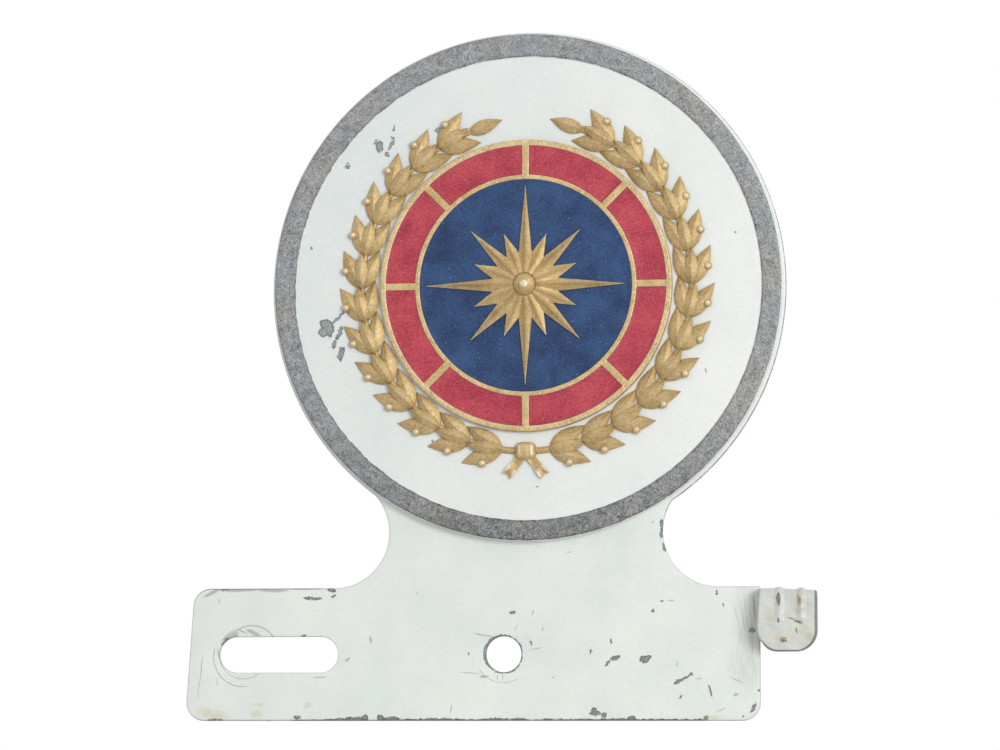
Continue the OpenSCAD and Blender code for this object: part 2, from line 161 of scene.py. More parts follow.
def rounded(corners, radii, steps=6):
    # straight lines through the corners, each inner corner replaced by an arc of its radius
    corners = np.asarray(corners, float)
    out = [corners[:1]]
    for before, corner, after, radius in zip(corners, corners[1:], corners[2:], radii):
        if radius == 0:
            out.append(corner[None])
            continue
        a = (before - corner) / np.linalg.norm(before - corner)
        b = (after - corner) / np.linalg.norm(after - corner)
        half = np.arccos(np.clip(a @ b, -1, 1)) / 2
        middle = corner + (a + b) / np.linalg.norm(a + b) * radius / sin(half)
        start = corner + a * radius / np.tan(half) - middle
        stop = corner + b * radius / np.tan(half) - middle
        t = np.linspace(0, 1, steps)[:, None]
        sweep = pi - 2 * half
        out.append(middle + (sin((1 - t) * sweep) * start + sin(t * sweep) * stop) / sin(sweep))
    out.append(corners[-1:])
    return np.vstack(out)


def dense(path, step):
    # the same lines with a point at least every step millimetres
    out = [path[:1]]
    for a, b in zip(path, path[1:]):
        n = max(1, int(np.ceil(np.linalg.norm(b - a) / step)))
        out.append(a + (b - a) * np.linspace(0, 1, n + 1)[1:, None])
    return np.vstack(out)


def lumps(x, y, z, size, seed):
    # soft lumps between about -1 and 1: seven sine waves about size millimetres long, added up
    rng = np.random.default_rng(seed)
    total = 0 * (x + y + z)
    for wave in range(7):
        d = rng.normal(size=3)
        d *= 2 * pi / (size * rng.uniform(0.7, 1.5)) / np.linalg.norm(d)
        total = total + sin(d[0] * x + d[1] * y + d[2] * z + rng.uniform(0, 2 * pi))
    return total / 3.2


def ramp(value, start, stop):
    # 0 up to start, 1 from stop on and a straight rise between them; start may be the larger one
    return np.clip((value - start) / (stop - start), 0, 1)


def newObject(name, data):
    # an object of this mesh, lamp or camera, linked to the scene
    thing = bpy.data.objects.new(name, data)
    bpy.context.scene.collection.objects.link(thing)
    return thing


def makePiece(name, part, material, nodes, sharpAngle=40, field=None):
    # one mesh object at the origin, doubles merged, faces outward, smooth but for edges over sharpAngle
    # degrees; field is one number a point, kept as the mesh's attribute "crest"
    points, faces = part
    mesh = bpy.data.meshes.new(name)
    mesh.from_pydata((points * mm).tolist(), [], faces)
    layer = mesh.attributes.new("crest", "FLOAT", "POINT")
    values = np.zeros(len(points), np.float32)
    if field is not None:
        values[:np.size(field)] = np.ravel(field)
    layer.data.foreach_set("value", values)
    shape = bmesh.new()
    shape.from_mesh(mesh)
    bmesh.ops.remove_doubles(shape, verts=shape.verts, dist=1e-7)
    bmesh.ops.recalc_face_normals(shape, faces=shape.faces)
    shape.to_mesh(mesh)
    shape.free()
    mesh.shade_smooth()
    mesh.set_sharp_from_angle(angle=np.radians(sharpAngle))
    mesh.materials.append(material)
    piece = newObject(name, mesh)
    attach(piece, "root")
    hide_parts(*nodes)
    print("piece", name, "with", len(mesh.polygons), "faces")
    return piece


# Materials. A Mix node takes these settings for colours: its socket 0 is the factor, 6 and 7 are the colours
blend = {"out": 2, "data_type": "RGBA"}


def linear(hexColour):
    # an sRGB hex colour as linear red, green, blue and a full alpha
    c = np.array([int(hexColour[i:i + 2], 16) / 255 for i in (1, 3, 5)])
    c = np.where(c <= 0.04045, c / 12.92, ((c + 0.055) / 1.055) ** 2.4)
    return (*c.tolist(), 1.0)


def add(tree, kind, inputs=None, operation=None, out=0, **settings):
    # adds one node with its settings and its sockets' links, values or hex colours, and returns one output
    node = tree.nodes.new("ShaderNode" + kind)
    if operation:
        node.operation = operation
    for key, value in settings.items():
        setattr(node, key, value)
    for key, value in (inputs or {}).items():
        if isinstance(value, bpy.types.NodeSocket):
            tree.links.new(value, node.inputs[key])
        else:
            node.inputs[key].default_value = linear(value) if isinstance(value, str) else value
    return node.outputs[out] if node.outputs else node


def newMaterial(name):
    # an empty node material: itself, the function that adds its nodes, and the place on the object in metres
    material = bpy.data.materials.new(name)
    material.use_nodes = True
    material.node_tree.nodes.clear()
    put = partial(add, material.node_tree)
    return material, put, put("TexCoord", out=3)


def finished(material, put, sockets):
    # the material with its Principled shader, whose sockets take these values and links
    put("OutputMaterial", {0: put("BsdfPrincipled", sockets)})
    return material


def summed(put, *terms):
    # the sum of values, each multiplied by its share
    total = 0.0
    for value, share in terms:
        total = put("Math", {0: value, 1: share, 2: total}, "MULTIPLY_ADD")
    return total


def perMm(size):
    # the noise scale that makes patches of about this many millimetres on coordinates in metres
    return 1 / (size * mm)


def nearestMark(put, place, group, level):
    # distance to the nearest mark, 1 on its outline: each mark is an ellipse (x, z, width, height, turn) in
    # millimetres and degrees at the depth level, each ring a band (x, z, radius, width), and coarse and
    # fine noise makes their outlines ragged. Each distance is joined to the least so far before the next
    # is added, because Cycles has room for few values at a time
    near = place
    for size, share in ((1.3, 1.0), (0.4, 0.55)):
        grain = {"Vector": place, "Scale": perMm(size), "Detail": 3.0, "Roughness": 0.75}
        noise = put("TexNoise", grain, out=1)
        shift = put("VectorMath", {0: noise, 1: (0.5, 0.5, 0.5)}, "SUBTRACT")
        shift = put("VectorMath", {0: shift, "Scale": group["ragged"] * share * mm}, "SCALE")
        near = put("VectorMath", {0: near, 1: shift}, "ADD")
    least = None
    for x, z, radius, width in group.get("rings", ()):
        own = put("VectorMath", {0: near, 1: (x * mm, 0, z * mm)}, "SUBTRACT")
        own = put("VectorMath", {0: own, 1: (1, 0, 1)}, "MULTIPLY")
        away = put("VectorMath", {0: own}, "LENGTH", out=1)
        away = put("Math", {0: away, 1: radius * mm}, "SUBTRACT")
        away = put("Math", {0: away}, "ABSOLUTE")
        away = put("Math", {0: away, 1: width / 2 * mm}, "DIVIDE")
        least = away if least is None else put("Math", {0: least, 1: away}, "MINIMUM")
    for x, z, width, height, turn in group["marks"]:
        own = put("Mapping", {
            "Vector": near, "Location": (x * mm, level * mm, z * mm), "Rotation": (0, -np.radians(turn), 0),
            "Scale": (width / 2 * mm, 1.0 * mm, height / 2 * mm),
        }, vector_type="TEXTURE")
        away = put("VectorMath", {0: own}, "LENGTH", out=1)
        least = away if least is None else put("Math", {0: least, 1: away}, "MINIMUM")
    return least


def paintMaterial(name, colour, groups, level):
    # White stoving enamel sprayed on pressed steel: a soft gloss with faint orange peel and hazy dirt.
    # Chips show steel a hair below the paint, darkest along their ragged edges; scuffs only tint it, and
    # the rounded edges are painted a little grey as shade
    material, put, place = newMaterial(name)
    patch = perMm(colour["patch"])
    cloud = put("TexNoise", {"Vector": place, "Scale": patch, "Detail": 5.0, "Roughness": 0.6})
    grain = put("TexNoise", {"Vector": place, "Scale": perMm(0.7), "Detail": 3.0, "Roughness": 0.6})
    # slope: a straight change of tone across the piece, which on the field is painted light
    slope = put("VectorMath", {0: place, 1: colour["slope"]}, "DOT_PRODUCT", out=1)
    slope = put("Math", {0: slope, 1: colour["level"]}, "ADD")
    cloudy = colour["cloudy"]
    cleanAndLit = put("MapRange", {"Value": cloud, "From Min": 0.3, "From Max": 0.7,
                             "To Min": -cloudy, "To Max": cloudy})
    cleanAndLit = put("Math", {0: cleanAndLit, 1: slope}, "ADD", use_clamp=True)
    surface = put("Mix", {0: cleanAndLit, 6: colour["shade"], 7: colour["light"]}, **blend)
    speck = put("MapRange", {"Value": grain, "From Min": 0.3, "From Max": 0.7,
                             "To Min": 0.97, "To Max": 1.03})
    surface = put("VectorMath", {0: surface, "Scale": speck}, "SCALE")
    flakes = put("MapRange", {"Value": grain, "From Min": 0.34, "From Max": 0.42, "To Min": 0.25})
    sunk = None
    for group in groups:
        if not group["marks"]:
            continue
        away = nearestMark(put, place, group, group.get("level", level))
        cover = put("MapRange", {"Value": away, "From Min": 1 - group["soft"], "From Max": 1 + group["soft"],
                                 "To Min": group["cover"], "To Max": 0.0}, interpolation_type="SMOOTHSTEP")
        tone = grain
        if group.get("deep"):
            cover = put("Math", {0: cover, 1: flakes}, "MULTIPLY")
            sunk = cover if sunk is None else put("Math", {0: sunk, 1: cover}, "MAXIMUM")
            tone = put("MapRange", {"Value": away, "From Min": 0.95, "From Max": 0.55, "To Min": 0.1})
            tone = put("Math", {0: tone, 1: grain}, "MULTIPLY")
        if "streak" in group:
            long = put("Mapping", {"Vector": place, "Scale": (1, 1, 0.12)})
            streak = put("TexNoise", {"Vector": long, "Scale": perMm(group["streak"]), "Detail": 3.0})
            streak = put("MapRange", {"Value": streak, "From Min": 0.4, "From Max": 0.58, "To Min": 0.4})
            cover = put("Math", {0: cover, 1: streak}, "MULTIPLY")
        under = put("Mix", {0: tone, 6: group["dark"], 7: group["light"]}, **blend)
        surface = put("Mix", {0: cover, 6: surface, 7: under}, **blend)
    crest = put("Attribute", out=2, attribute_name="crest")
    # painted shade: the rounded edges a little greyer
    edgeShade = put("MapRange", {"Value": crest, "From Min": 0.2, "From Max": 0.45,
                               "To Min": 1.0, "To Max": 0.8})
    surface = put("VectorMath", {0: surface, "Scale": edgeShade}, "SCALE")
    ragged = put("TexNoise", {"Vector": place, "Scale": perMm(2.2), "Detail": 5.0, "Roughness": 0.75})
    # where steel shows: wear, and on the ear and the head's right wall painted shade
    steelShowingAndShade = put("Math", {0: ragged, 1: colour["edgeWear"], 2: crest}, "MULTIPLY_ADD")
    steelShowingAndShade = put("MapRange", {"Value": steelShowingAndShade, "From Min": 0.97, "From Max": 1.05, "To Max": 0.9})
    steel = put("Mix", {0: grain, 6: colour["steelDark"], 7: colour["steelLight"]}, **blend)
    surface = put("Mix", {0: steelShowingAndShade, 6: surface, 7: steel}, **blend)
    sunk = steelShowingAndShade if sunk is None else put("Math", {0: sunk, 1: steelShowingAndShade}, "MAXIMUM")
    rough = put("MapRange", {"Value": sunk, "To Min": 0.4, "To Max": 0.62})
    peel = put("TexNoise", {"Vector": place, "Scale": perMm(1.5)})
    wave = put("TexNoise", {"Vector": place, "Scale": perMm(13), "Detail": 1.0})
    high = summed(put, (peel, 0.03), (wave, 0.35), (sunk, -0.09))
    bump = put("Bump", {"Height": high, "Distance": 1.0 * mm})
    return finished(material, put, {"Base Color": surface, "Roughness": rough, "Normal": bump,
                                    "Coat Weight": 0.12, "Coat Roughness": 0.25})


# Bracket: pressed steel under old white enamel, with a tongue folded over beside the bar
bracketSizes = {
    "sheetT": 1.6, "barLeft": 64.099, "barRight": 50.7, "barUp": 13.2, "barDown": 13.1, "endLean": 1.7,
    "cornerR": 3.6, "holeR": 3.55, "slotX": 45.2, "slotHalf": 8.45, "slotR": 3.55,
    "neckLeft": 23.0, "neckRight": 31.6, "hollowR": 11.0, "headR": 51.5,
    "hookW": 11.2, "hookTop": 12.8, "hookTip": 0.4, "hookReach": 4.5, "hookTipR": 4.2, "hookSwell": 0.4,
    "hookDrop": 0.45, "earR": 3.2, "bendR": 1.1,
    "beadApart": 4.3, "beadShift": 0.5, "beadW": 2.0, "beadProud": 0.36, "beadDown": 6.6,
    "frontEdgeR": 0.4, "backEdgeR": 0.25, "holeEdgeR": 0.3, "hookEdgeR": 0.42, "step": 0.5,
    "paintCuts": [-30.0, -5.5, 24.0],
}
s = SimpleNamespace(**bracketSizes)


def arc(middle, radius, start, stop, step):
    # points on a circle between two angles in degrees, about step millimetres apart
    n = max(3, int(abs(np.radians(stop - start)) * radius / step))
    t = np.radians(np.linspace(start, stop, n))
    return np.array(middle) + radius * np.stack([cos(t), sin(t)], -1)


def bracketOutline(s):
    # the sheet's outline from arcs and the lines between them, counter-clockwise as seen from the front
    r = s.cornerR
    height = s.barUp + s.barDown
    slant = np.hypot(height, s.endLean)
    lean = np.degrees(np.arctan(s.endLean / height))
    lowZ = r - s.barDown
    highZ = s.barUp - r
    lowX, highX = [-s.barLeft + s.endLean * (z + s.barDown) / height + r * slant / height
                   for z in (lowZ, highZ)]
    right = s.barRight + s.hookW
    bendZ = s.hookTop - s.bendR - s.sheetT / 2
    head = np.array([headX, headZ])
    hollows, meet = [], []
    for side, x in ((1, s.neckRight), (-1, -s.neckLeft)):
        # the hollow's circle meets the head's where their distance and both radii form a triangle
        middle = np.array([x + side * s.hollowR, s.barUp + s.hollowR])
        away = head - middle
        apart = np.hypot(*away)
        cosine = (apart ** 2 + s.hollowR ** 2 - s.headR ** 2) / (2 * apart * s.hollowR)
        turn = np.degrees(np.arctan2(away[1], away[0])) + side * np.degrees(np.arccos(cosine))
        hollow = arc(middle, s.hollowR, 90 + side * 180, turn, s.step)
        hollows.append(hollow)
        meet.append(np.degrees(np.arctan2(hollow[-1][1] - headZ, hollow[-1][0] - headX)))
    tipR = s.hookTipR
    path = np.vstack([
        arc((lowX, lowZ), r, 180 - lean, 270, s.step),
        arc((s.barRight - r, lowZ), r, -90, 0, s.step),
        arc((s.barRight + s.earR, s.hookTip + s.earR), s.earR, 180, 270, s.step),
        arc((right - tipR, s.hookTip + tipR), tipR, -90, 0, s.step),
        [[right, bendZ], [s.barRight, bendZ], [s.barRight, s.barUp]],
        hollows[0],
        arc(head, s.headR, meet[0], meet[1] + 360, s.step),
        hollows[1][::-1],
        arc((highX, highZ), r, 90, 180 - lean, s.step),
    ])
    points = dense(np.vstack([path, path[:1]]), s.step)
    apart = np.linalg.norm(np.diff(points, axis=0), axis=1)
    return points[1:][apart > 0.02]


def wallRings(outline, thick, frontR, backR):
    # an outline through the sheet's thickness, its two edges rounded by quarter circles set inwards
    ahead = np.roll(outline, -1, 0) - np.roll(outline, 1, 0)
    inward = np.stack([-ahead[:, 1], ahead[:, 0]], -1) / np.linalg.norm(ahead, axis=1)[:, None]
    t = np.linspace(0, pi / 2, 5)
    inset = np.concatenate([frontR * (1 - sin(t)), backR * (1 - sin(t[::-1]))])
    depth = np.concatenate([frontR * (1 - cos(t)), thick - backR * (1 - cos(t[::-1]))])
    flat = outline[None] + inward[None] * inset[:, None, None]
    return np.stack([flat[..., 0], depth[:, None] + 0 * flat[..., 0], flat[..., 1]], -1)


def sheetPart(outline, holes, s):
    # rounded walls round the outline and each hole, and flat triangles between them at front and back; the
    # crest field rises from 0 on both faces to its full value on the walls, which says how worn they are, and
    # on the lower edge, the head's right side and the ear how much shade is painted there as dark steel
    walls = [wallRings(outline, s.sheetT, s.frontEdgeR, s.backEdgeR)]
    walls += [wallRings(hole, s.sheetT, s.holeEdgeR, s.holeEdgeR) for hole in holes]
    points, faces = joined([gridPart(w) for w in walls])
    starts = np.cumsum([0] + [w.shape[0] * w.shape[1] for w in walls])
    for row in (0, walls[0].shape[0] - 1):
        loops = [[Vector((p[0], p[2], 0)) for p in w[row]] for w in walls]
        ids = np.concatenate([start + row * w.shape[1] + np.arange(w.shape[1])
                              for start, w in zip(starts, walls)])
        faces += [[int(ids[i]) for i in face] for face in tessellate_polygon(loops)]
    x, z = walls[0][..., 0], walls[0][..., 2]
    onBar = z < s.barUp + 1
    # the bar's lower edge: wear, and painted shade on its downward rounding
    wearAndShade = 0.52 + 0.3 * ramp(z, -11.5, -13) * ramp(np.abs(x + 1), 42, 38)  # the bar's lower edge
    wearAndShade = wearAndShade + 0.12 * ramp(x, -38, -48) * onBar  # its slotted end
    # painted shade: the head's right wall and the ear behind the tongue get dark steel for the shade on them
    wearAndShade = wearAndShade + 0.16 * ramp(x, headX + 20, headX + 35) * (z > headZ - 45)  # the head's right side
    wearAndShade = wearAndShade + 0.75 * ramp(x, s.barRight, s.barRight + 2) * (z < 12.5)  # the ear
    wearAndShade = wearAndShade + 0.3 * ramp(x, -36, -40) * ramp(z, 10, 12) * onBar  # the bar's upper edge over the slot
    rows = np.array([0, 0.35, 0.7, 1, 1, 1, 1, 0.7, 0.35, 0])[:, None]
    fields = [rows * wearAndShade]
    for amount, w in zip((0.58, 0.75), walls[1:]):  # the slot and the hole
        fields.append(rows * amount + 0 * w[..., 0])
    return (points, faces), np.concatenate([field.ravel() for field in fields])


def hookPart(s):
    # a strip carried up the ear, over two bends and down the tongue: its section is a rounded rectangle
    # that narrows to a round tip, and two beads and the paint's lumps swell its outer face
    r = s.bendR
    half = s.sheetT / 2
    bendZ = s.hookTop - r - half
    backY = half - r
    frontY = -s.hookReach + half + r
    foot, endR, edgeR = 1.2, 0.5, s.hookEdgeR
    straights = [foot, pi / 2 * r, backY - frontY, pi / 2 * r, bendZ - s.hookTip]
    topStart, topEnd, frontStart, tip = np.cumsum(straights)[1:]
    tipRows = tip - endR * (1 - sin(np.linspace(0, pi / 2, 7)))
    at = np.append(np.arange(0, tip - endR, 0.11), tipRows)[:, None]
    a = np.clip((at - foot) / r, 0, pi / 2) + np.clip((at - topEnd) / r, 0, pi / 2)
    y = backY + r * cos(a) - np.clip(at - topStart, 0, backY - frontY)
    z = bendZ + r * sin(a) + np.clip(at, 0, foot) - foot - np.clip(at - frontStart, 0, None)
    fromTip = tip - at
    turned = np.clip(s.hookTipR - fromTip, 0, None)
    wide = s.hookW / 2 - s.hookTipR + np.sqrt(np.clip(s.hookTipR ** 2 - turned ** 2, 0, None))
    corner = edgeR * np.sqrt(1 - (np.clip(endR - fromTip, 0, None) / endR) ** 2)
    hidden = ramp(at, foot, 0)

    # round the section: n points across its outer face, m across its inner one, and 6 on each corner
    n, m = 100, 30
    q = np.linspace(0, pi / 2, 6)
    sideways = np.concatenate([np.linspace(-1, 1, n), np.ones(12), np.linspace(1, -1, m), -np.ones(12)])
    upright = np.concatenate([np.ones(n + 6), -np.ones(m + 12), np.ones(6)])
    sideArc = np.concatenate([np.zeros(n), sin(q), cos(q), np.zeros(m), -sin(q), -cos(q)])
    upArc = np.concatenate([np.ones(n), cos(q), -sin(q), -np.ones(m), -cos(q), sin(q)])
    across = (wide - 0.1 * hidden) * sideways - corner * (sideways - sideArc)
    rise = (half - edgeR - 0.12 * hidden) * upright + corner * upArc

    front = ramp(at, topEnd, tip)
    swell = s.hookSwell * sin(pi * front ** 1.6) * (sideways < 0)
    middle = s.barRight + s.hookW / 2
    x = middle + across - swell * np.abs(sideways)
    beadEnd = frontStart + bendZ - s.hookTop + s.beadDown
    along = ramp(at, topStart - 0.3, topStart + 0.9) * ramp(at, beadEnd, beadEnd - 0.9)
    ridge = 0 * x
    for side in (-1, 1):
        aside = np.abs(x - middle - s.beadShift - side * s.beadApart / 2)
        ridge = ridge + cos(pi / 2 * ramp(aside, 0, s.beadW / 2)) ** 1.4 * sin(pi / 2 * along) ** 0.7
    outer = np.clip(upArc * (upright > 0), 0, 1) ** 2
    lump = 0.045 * lumps(x, y, z, 2.6, 4) + 0.02 * lumps(x, y, z, 1.1, 9)
    rise = rise + outer * (s.beadProud * ridge + (lump - 0.05) * (1 - hidden))
    drop = s.hookDrop * ramp(x, s.barRight, s.barRight + s.hookW) * ramp(at, 0, topStart) * (1 - front)
    grid = np.stack([x, y + cos(a) * rise, z - drop + sin(a) * rise], -1)
    # the edges' crest, higher on the far side and at the tip: wear, and painted shade where the ear behind
    # shows
    farSide = np.clip(sideways * 2, 0, 1) * (at > foot)
    rubbedAndPaintedLight = (np.abs(sideArc) > 0.3) * (0.5 + 0.28 * np.maximum(farSide, ramp(fromTip, 3.4, 1.4)))
    return gridPart(grid, caps=True), 0.25 * ridge * outer + rubbedAndPaintedLight + 0.75 * (fromTip < 0.25)


def alongArc(middle, radius, start, stop, thick):
    # marks laid end to end on an arc, where a bolt's washer has turned on the paint
    step, length = 14, 0.34 * radius
    return [(middle[0] + radius * cos(a), middle[1] + radius * sin(a), length, thick, np.degrees(a) + 90)
            for a in np.radians(np.arange(start, stop, step))]


def marksBetween(groups, low, high):
    # the groups with only the marks that reach into a band of the sheet between two x positions
    spare = 1.5  # as far as a ragged outline may reach beyond its mark

    def reaches(x, half):
        # whether something this wide to both sides of x is in the band
        return x + half + spare > low and x - half - spare < high

    out = []
    for group in groups:
        marks = [mark for mark in group["marks"] if reaches(mark[0], max(mark[2:4]) / 2)]
        rings = [ring for ring in group.get("rings", ()) if reaches(ring[0], ring[2])]
        out.append({**group, "marks": marks, "rings": rings})
    return out


def paintBands(piece, cuts, paints):
    # cuts the piece's faces at these x positions and gives each band of it its own coat of the paint, because
    # one shader has no room for all its marks
    shape = bmesh.new()
    shape.from_mesh(piece.data)
    for x in cuts:
        everything = list(shape.verts) + list(shape.edges) + list(shape.faces)
        bmesh.ops.bisect_plane(shape, geom=everything, plane_co=(x * mm, 0, 0), plane_no=(1, 0, 0))
    for face in shape.faces:
        face.material_index = int(np.searchsorted(cuts, face.calc_center_median().x / mm))
    shape.to_mesh(piece.data)
    shape.free()
    for paint in paints[1:]:
        piece.data.materials.append(paint)


# Marks in the bracket's paint: x, z, width, height in millimetres, and turn in degrees. A group's look: how
# ragged it is in millimetres, how soft its edge, how full its cover, deep where steel shows, and two colours
chip = {"soft": 0.12, "cover": 1.0, "deep": True, "dark": "#474C4C", "light": "#A3A8A5"}
rub = {"soft": 0.4, "dark": "#6E7472", "light": "#9AA09C"}
barMarks = [
    {   # chips down to the steel, from the slotted end to the hook end
        "marks": [
            (-38.4, 11.1, 4.0, 0.7, -3), (-34.5, 12.8, 1.8, 0.9, -10), (-34.1, 11.6, 0.9, 0.5, 20),
            (-56.0, 13.0, 1.8, 0.5, 0), (-55.9, 2.6, 1.9, 0.7, 50), (-40.1, 3.8, 1.2, 0.5, 14),
            (-56.9, 0.2, 0.3, 1.6, 8), (-58.0, -13.0, 3.0, 0.7, 0), (-41.4, -12.4, 1.6, 0.7, 0),
            (-38.0, -13.1, 10.0, 0.5, 0), (-32.6, -13.0, 6.0, 0.9, 0), (-29.8, -12.9, 5.0, 1.2, 0),
            (-27.6, -12.6, 1.4, 1.3, 0), (-24.6, -12.6, 1.3, 1.5, 0), (-22.4, -12.8, 3.4, 0.9, 0),
            (-14.0, -13.1, 15.0, 0.9, 0), (-1.0, -13.0, 13.0, 0.8, 0), (13.0, -13.1, 16.0, 0.7, 0),
            (18.2, -11.6, 2.4, 1.0, 0), (17.9, -10.9, 1.1, 0.9, 0), (19.9, -12.0, 1.0, 1.2, 0),
            (23.0, -13.1, 12.0, 0.8, 0), (25.4, -12.5, 1.6, 0.9, 0), (34.0, -13.1, 12.0, 0.6, 0),
            (40.0, -12.5, 1.0, 0.8, 20),
            (1.8, 8.2, 1.2, 0.6, 8), (5.5, 2.2, 0.35, 1.1, 25), (17.4, 0.4, 0.35, 1.1, -8),
            (21.4, 2.5, 0.3, 1.0, 0), (22.2, -0.8, 2.0, 0.9, 22), (20.7, -1.8, 1.6, 0.5, 45),
            (27.9, -1.1, 2.0, 1.3, -20), (28.8, -0.7, 1.0, 0.8, 30), (29.6, 8.4, 0.9, 0.6, 40),
            (31.4, 10.3, 0.7, 0.4, 20), (42.3, 12.0, 0.4, 1.2, -5), (43.5, 9.6, 0.35, 0.8, 10),
            (34.6, -5.5, 1.9, 0.7, 22), (36.1, -4.6, 1.8, 0.6, 30), (37.1, -4.0, 0.7, 0.7, 0),
            (35.1, -8.4, 0.9, 0.4, 50), (40.9, -7.2, 0.4, 2.6, 14), (49.3, -10.6, 0.7, 2.0, -28),
            (50.4, -7.2, 0.6, 0.6, 0), (47.2, -12.2, 0.5, 0.5, 0), (49.2, 4.6, 1.1, 0.8, 0),
            (31.5, 25.2, 0.7, 2.6, 6), (31.3, 23.4, 0.7, 1.2, 0), (32.0, 20.9, 0.6, 1.8, 25),
            (-7.0, 0.2, 0.3, 0.7, 0),
        ],
        "rings": [(0, 0, 3.66, 0.3), (-0.2, 0.05, 3.7, 0.24)],
        **chip, "ragged": 1.1,
    },
    {   # fine scratches and rubbed places
        "marks": [
            (-53.0, 12.95, 8.0, 0.8, 2), (-46.6, 12.9, 6.5, 0.9, -2), (-39.6, 13.1, 8.0, 0.5, 0),
            (-57.3, 10.6, 0.2, 1.2, -5), (-50.3, 4.4, 3.0, 0.8, -24),
            (-60.8, -2.6, 0.2, 5.0, -5), (-61.3, -6.6, 0.14, 4.0, -8), (-57.6, -5.4, 0.2, 1.3, 0),
            (-4.9, 3.9, 1.9, 0.3, -14), (-2.9, 3.6, 3.0, 0.25, -10), (6.6, 1.1, 2.6, 0.2, 12),
            (2.4, 5.2, 0.2, 1.4, -28), (7.8, 5.0, 0.25, 0.9, -5), (5.8, 8.2, 0.3, 1.1, -15),
            (-6.6, -3.7, 4.0, 0.2, -3), (-3.9, -4.4, 1.8, 0.6, 0), (-1.2, -4.6, 0.25, 1.1, 0),
            (-0.2, -4.4, 0.2, 1.2, 10), (-10.4, -10.6, 0.25, 1.9, -12), (33.2, 10.4, 1.5, 0.25, -3),
            (34.4, -1.9, 0.25, 1.2, -12), (38.6, -4.9, 1.4, 0.2, -4), (9.9, -4.6, 0.4, 0.4, 0),
            (43.0, -11.0, 2.2, 0.2, 25), (46.1, -5.2, 3.2, 0.2, -25), (45.9, -8.0, 0.9, 0.7, 0),
            (13.1, 20.1, 0.9, 0.2, 10), (29.7, 25.9, 0.7, 0.3, 30), (-17.3, 12.1, 0.3, 0.3, 0),
            (-54.8, 3.4, 3.6, 1.5, 38), (-57.4, 0.2, 0.3, 2.4, 4), (-55.9, 3.6, 0.3, 2.6, -45),
            (-55.1, 4.3, 0.25, 2.2, -52), (-56.4, 2.6, 0.25, 1.8, -35), (-52.6, 4.7, 2.4, 0.3, -30),
            (-26.6, 2.9, 0.5, 1.4, 10),
            (-31.2, -1.0, 1.2, 0.5, 35), (-36.8, -4.5, 2.6, 0.3, 4), (-58.5, 12.5, 4.4, 0.7, 26),
            (47.4, 6.6, 0.14, 6.0, 8), (48.2, 5.4, 0.14, 7.0, 5), (46.7, 4.2, 0.12, 5.0, 6),
            (49.1, 2.6, 0.16, 7.0, 0), (45.9, 8.2, 0.12, 3.0, 14), (49.6, 9.0, 0.3, 5.0, 3),
        ] + alongArc((-50.6, 0.4), 5.4, 40, 150, 0.3) + alongArc((-52.4, -0.4), 5.9, 172, 272, 0.22)
        + alongArc((-52.2, 0.2), 5.0, 186, 300, 0.16) + alongArc((0, 0), 5.6, 220, 300, 0.14),
        **rub, "ragged": 0.3, "cover": 0.6,
    },
    {   # yellowed dirt in the lower corner and small stains beside it
        "marks": [
            (-58.5, -11.9, 5.5, 1.8, -12), (-39.2, -10.0, 1.3, 1.2, 0), (-49.6, -11.8, 2.0, 1.2, 0),
            (-49.0, -9.9, 2.0, 0.5, 0), (41.5, -12.4, 3.0, 0.6, 0),
        ],
        "ragged": 1.6, "soft": 0.7, "cover": 0.5, "dark": "#B9B28C", "light": "#D3CDAA",
    },
    {   # grey streaks beside the tongue: painted shadow of the tongue, with scuffs where plates were pushed in and out
        "marks": [(48.4, 4.4, 5.0, 17.0, 5), (48.0, -2.5, 5.8, 9.0, 0)],
        "ragged": 1.2, "soft": 0.6, "cover": 0.4, "streak": 0.5, "dark": "#A8A9A2", "light": "#BDBEB8",
    },
    {   # rubs on the back, some where a washer turned round the middle hole
        "marks": [
            (-48.0, -5.6, 9.0, 0.5, 3), (-44.0, 6.2, 6.0, 0.3, -6), (-20.0, 40.0, 0.3, 9.0, 20),
            (-8.0, 95.0, 7.0, 0.25, 35), (14.0, 108.0, 0.25, 6.0, -30), (18.0, 52.0, 5.0, 0.3, 12),
            (-24.0, 62.0, 0.3, 4.0, -15), (33.0, 78.0, 0.3, 8.0, 10), (10.0, 20.0, 6.0, 0.25, -35),
        ] + alongArc((0.3, -0.2), 6.8, 20, 120, 0.3) + alongArc((-0.2, 0.3), 6.2, 200, 290, 0.25),
        **rub, "ragged": 0.4, "cover": 0.5, "level": s.sheetT,
    },
    {   # chips on the back
        "marks": [
            (-61.5, -8.0, 1.0, 2.0, 4), (-30.0, -12.7, 3.0, 0.8, 0), (21.0, -12.8, 4.0, 0.8, 0),
            (5.0, 12.0, 0.8, 0.6, 20), (-36.5, 102.0, 1.2, 2.0, 36), (20.0, 121.6, 4.0, 1.2, -18),
            (-10.0, 27.0, 0.9, 0.5, 0), (42.0, 105.5, 1.2, 2.6, -40),
        ],
        **chip, "ragged": 0.9, "level": s.sheetT,
    },
]
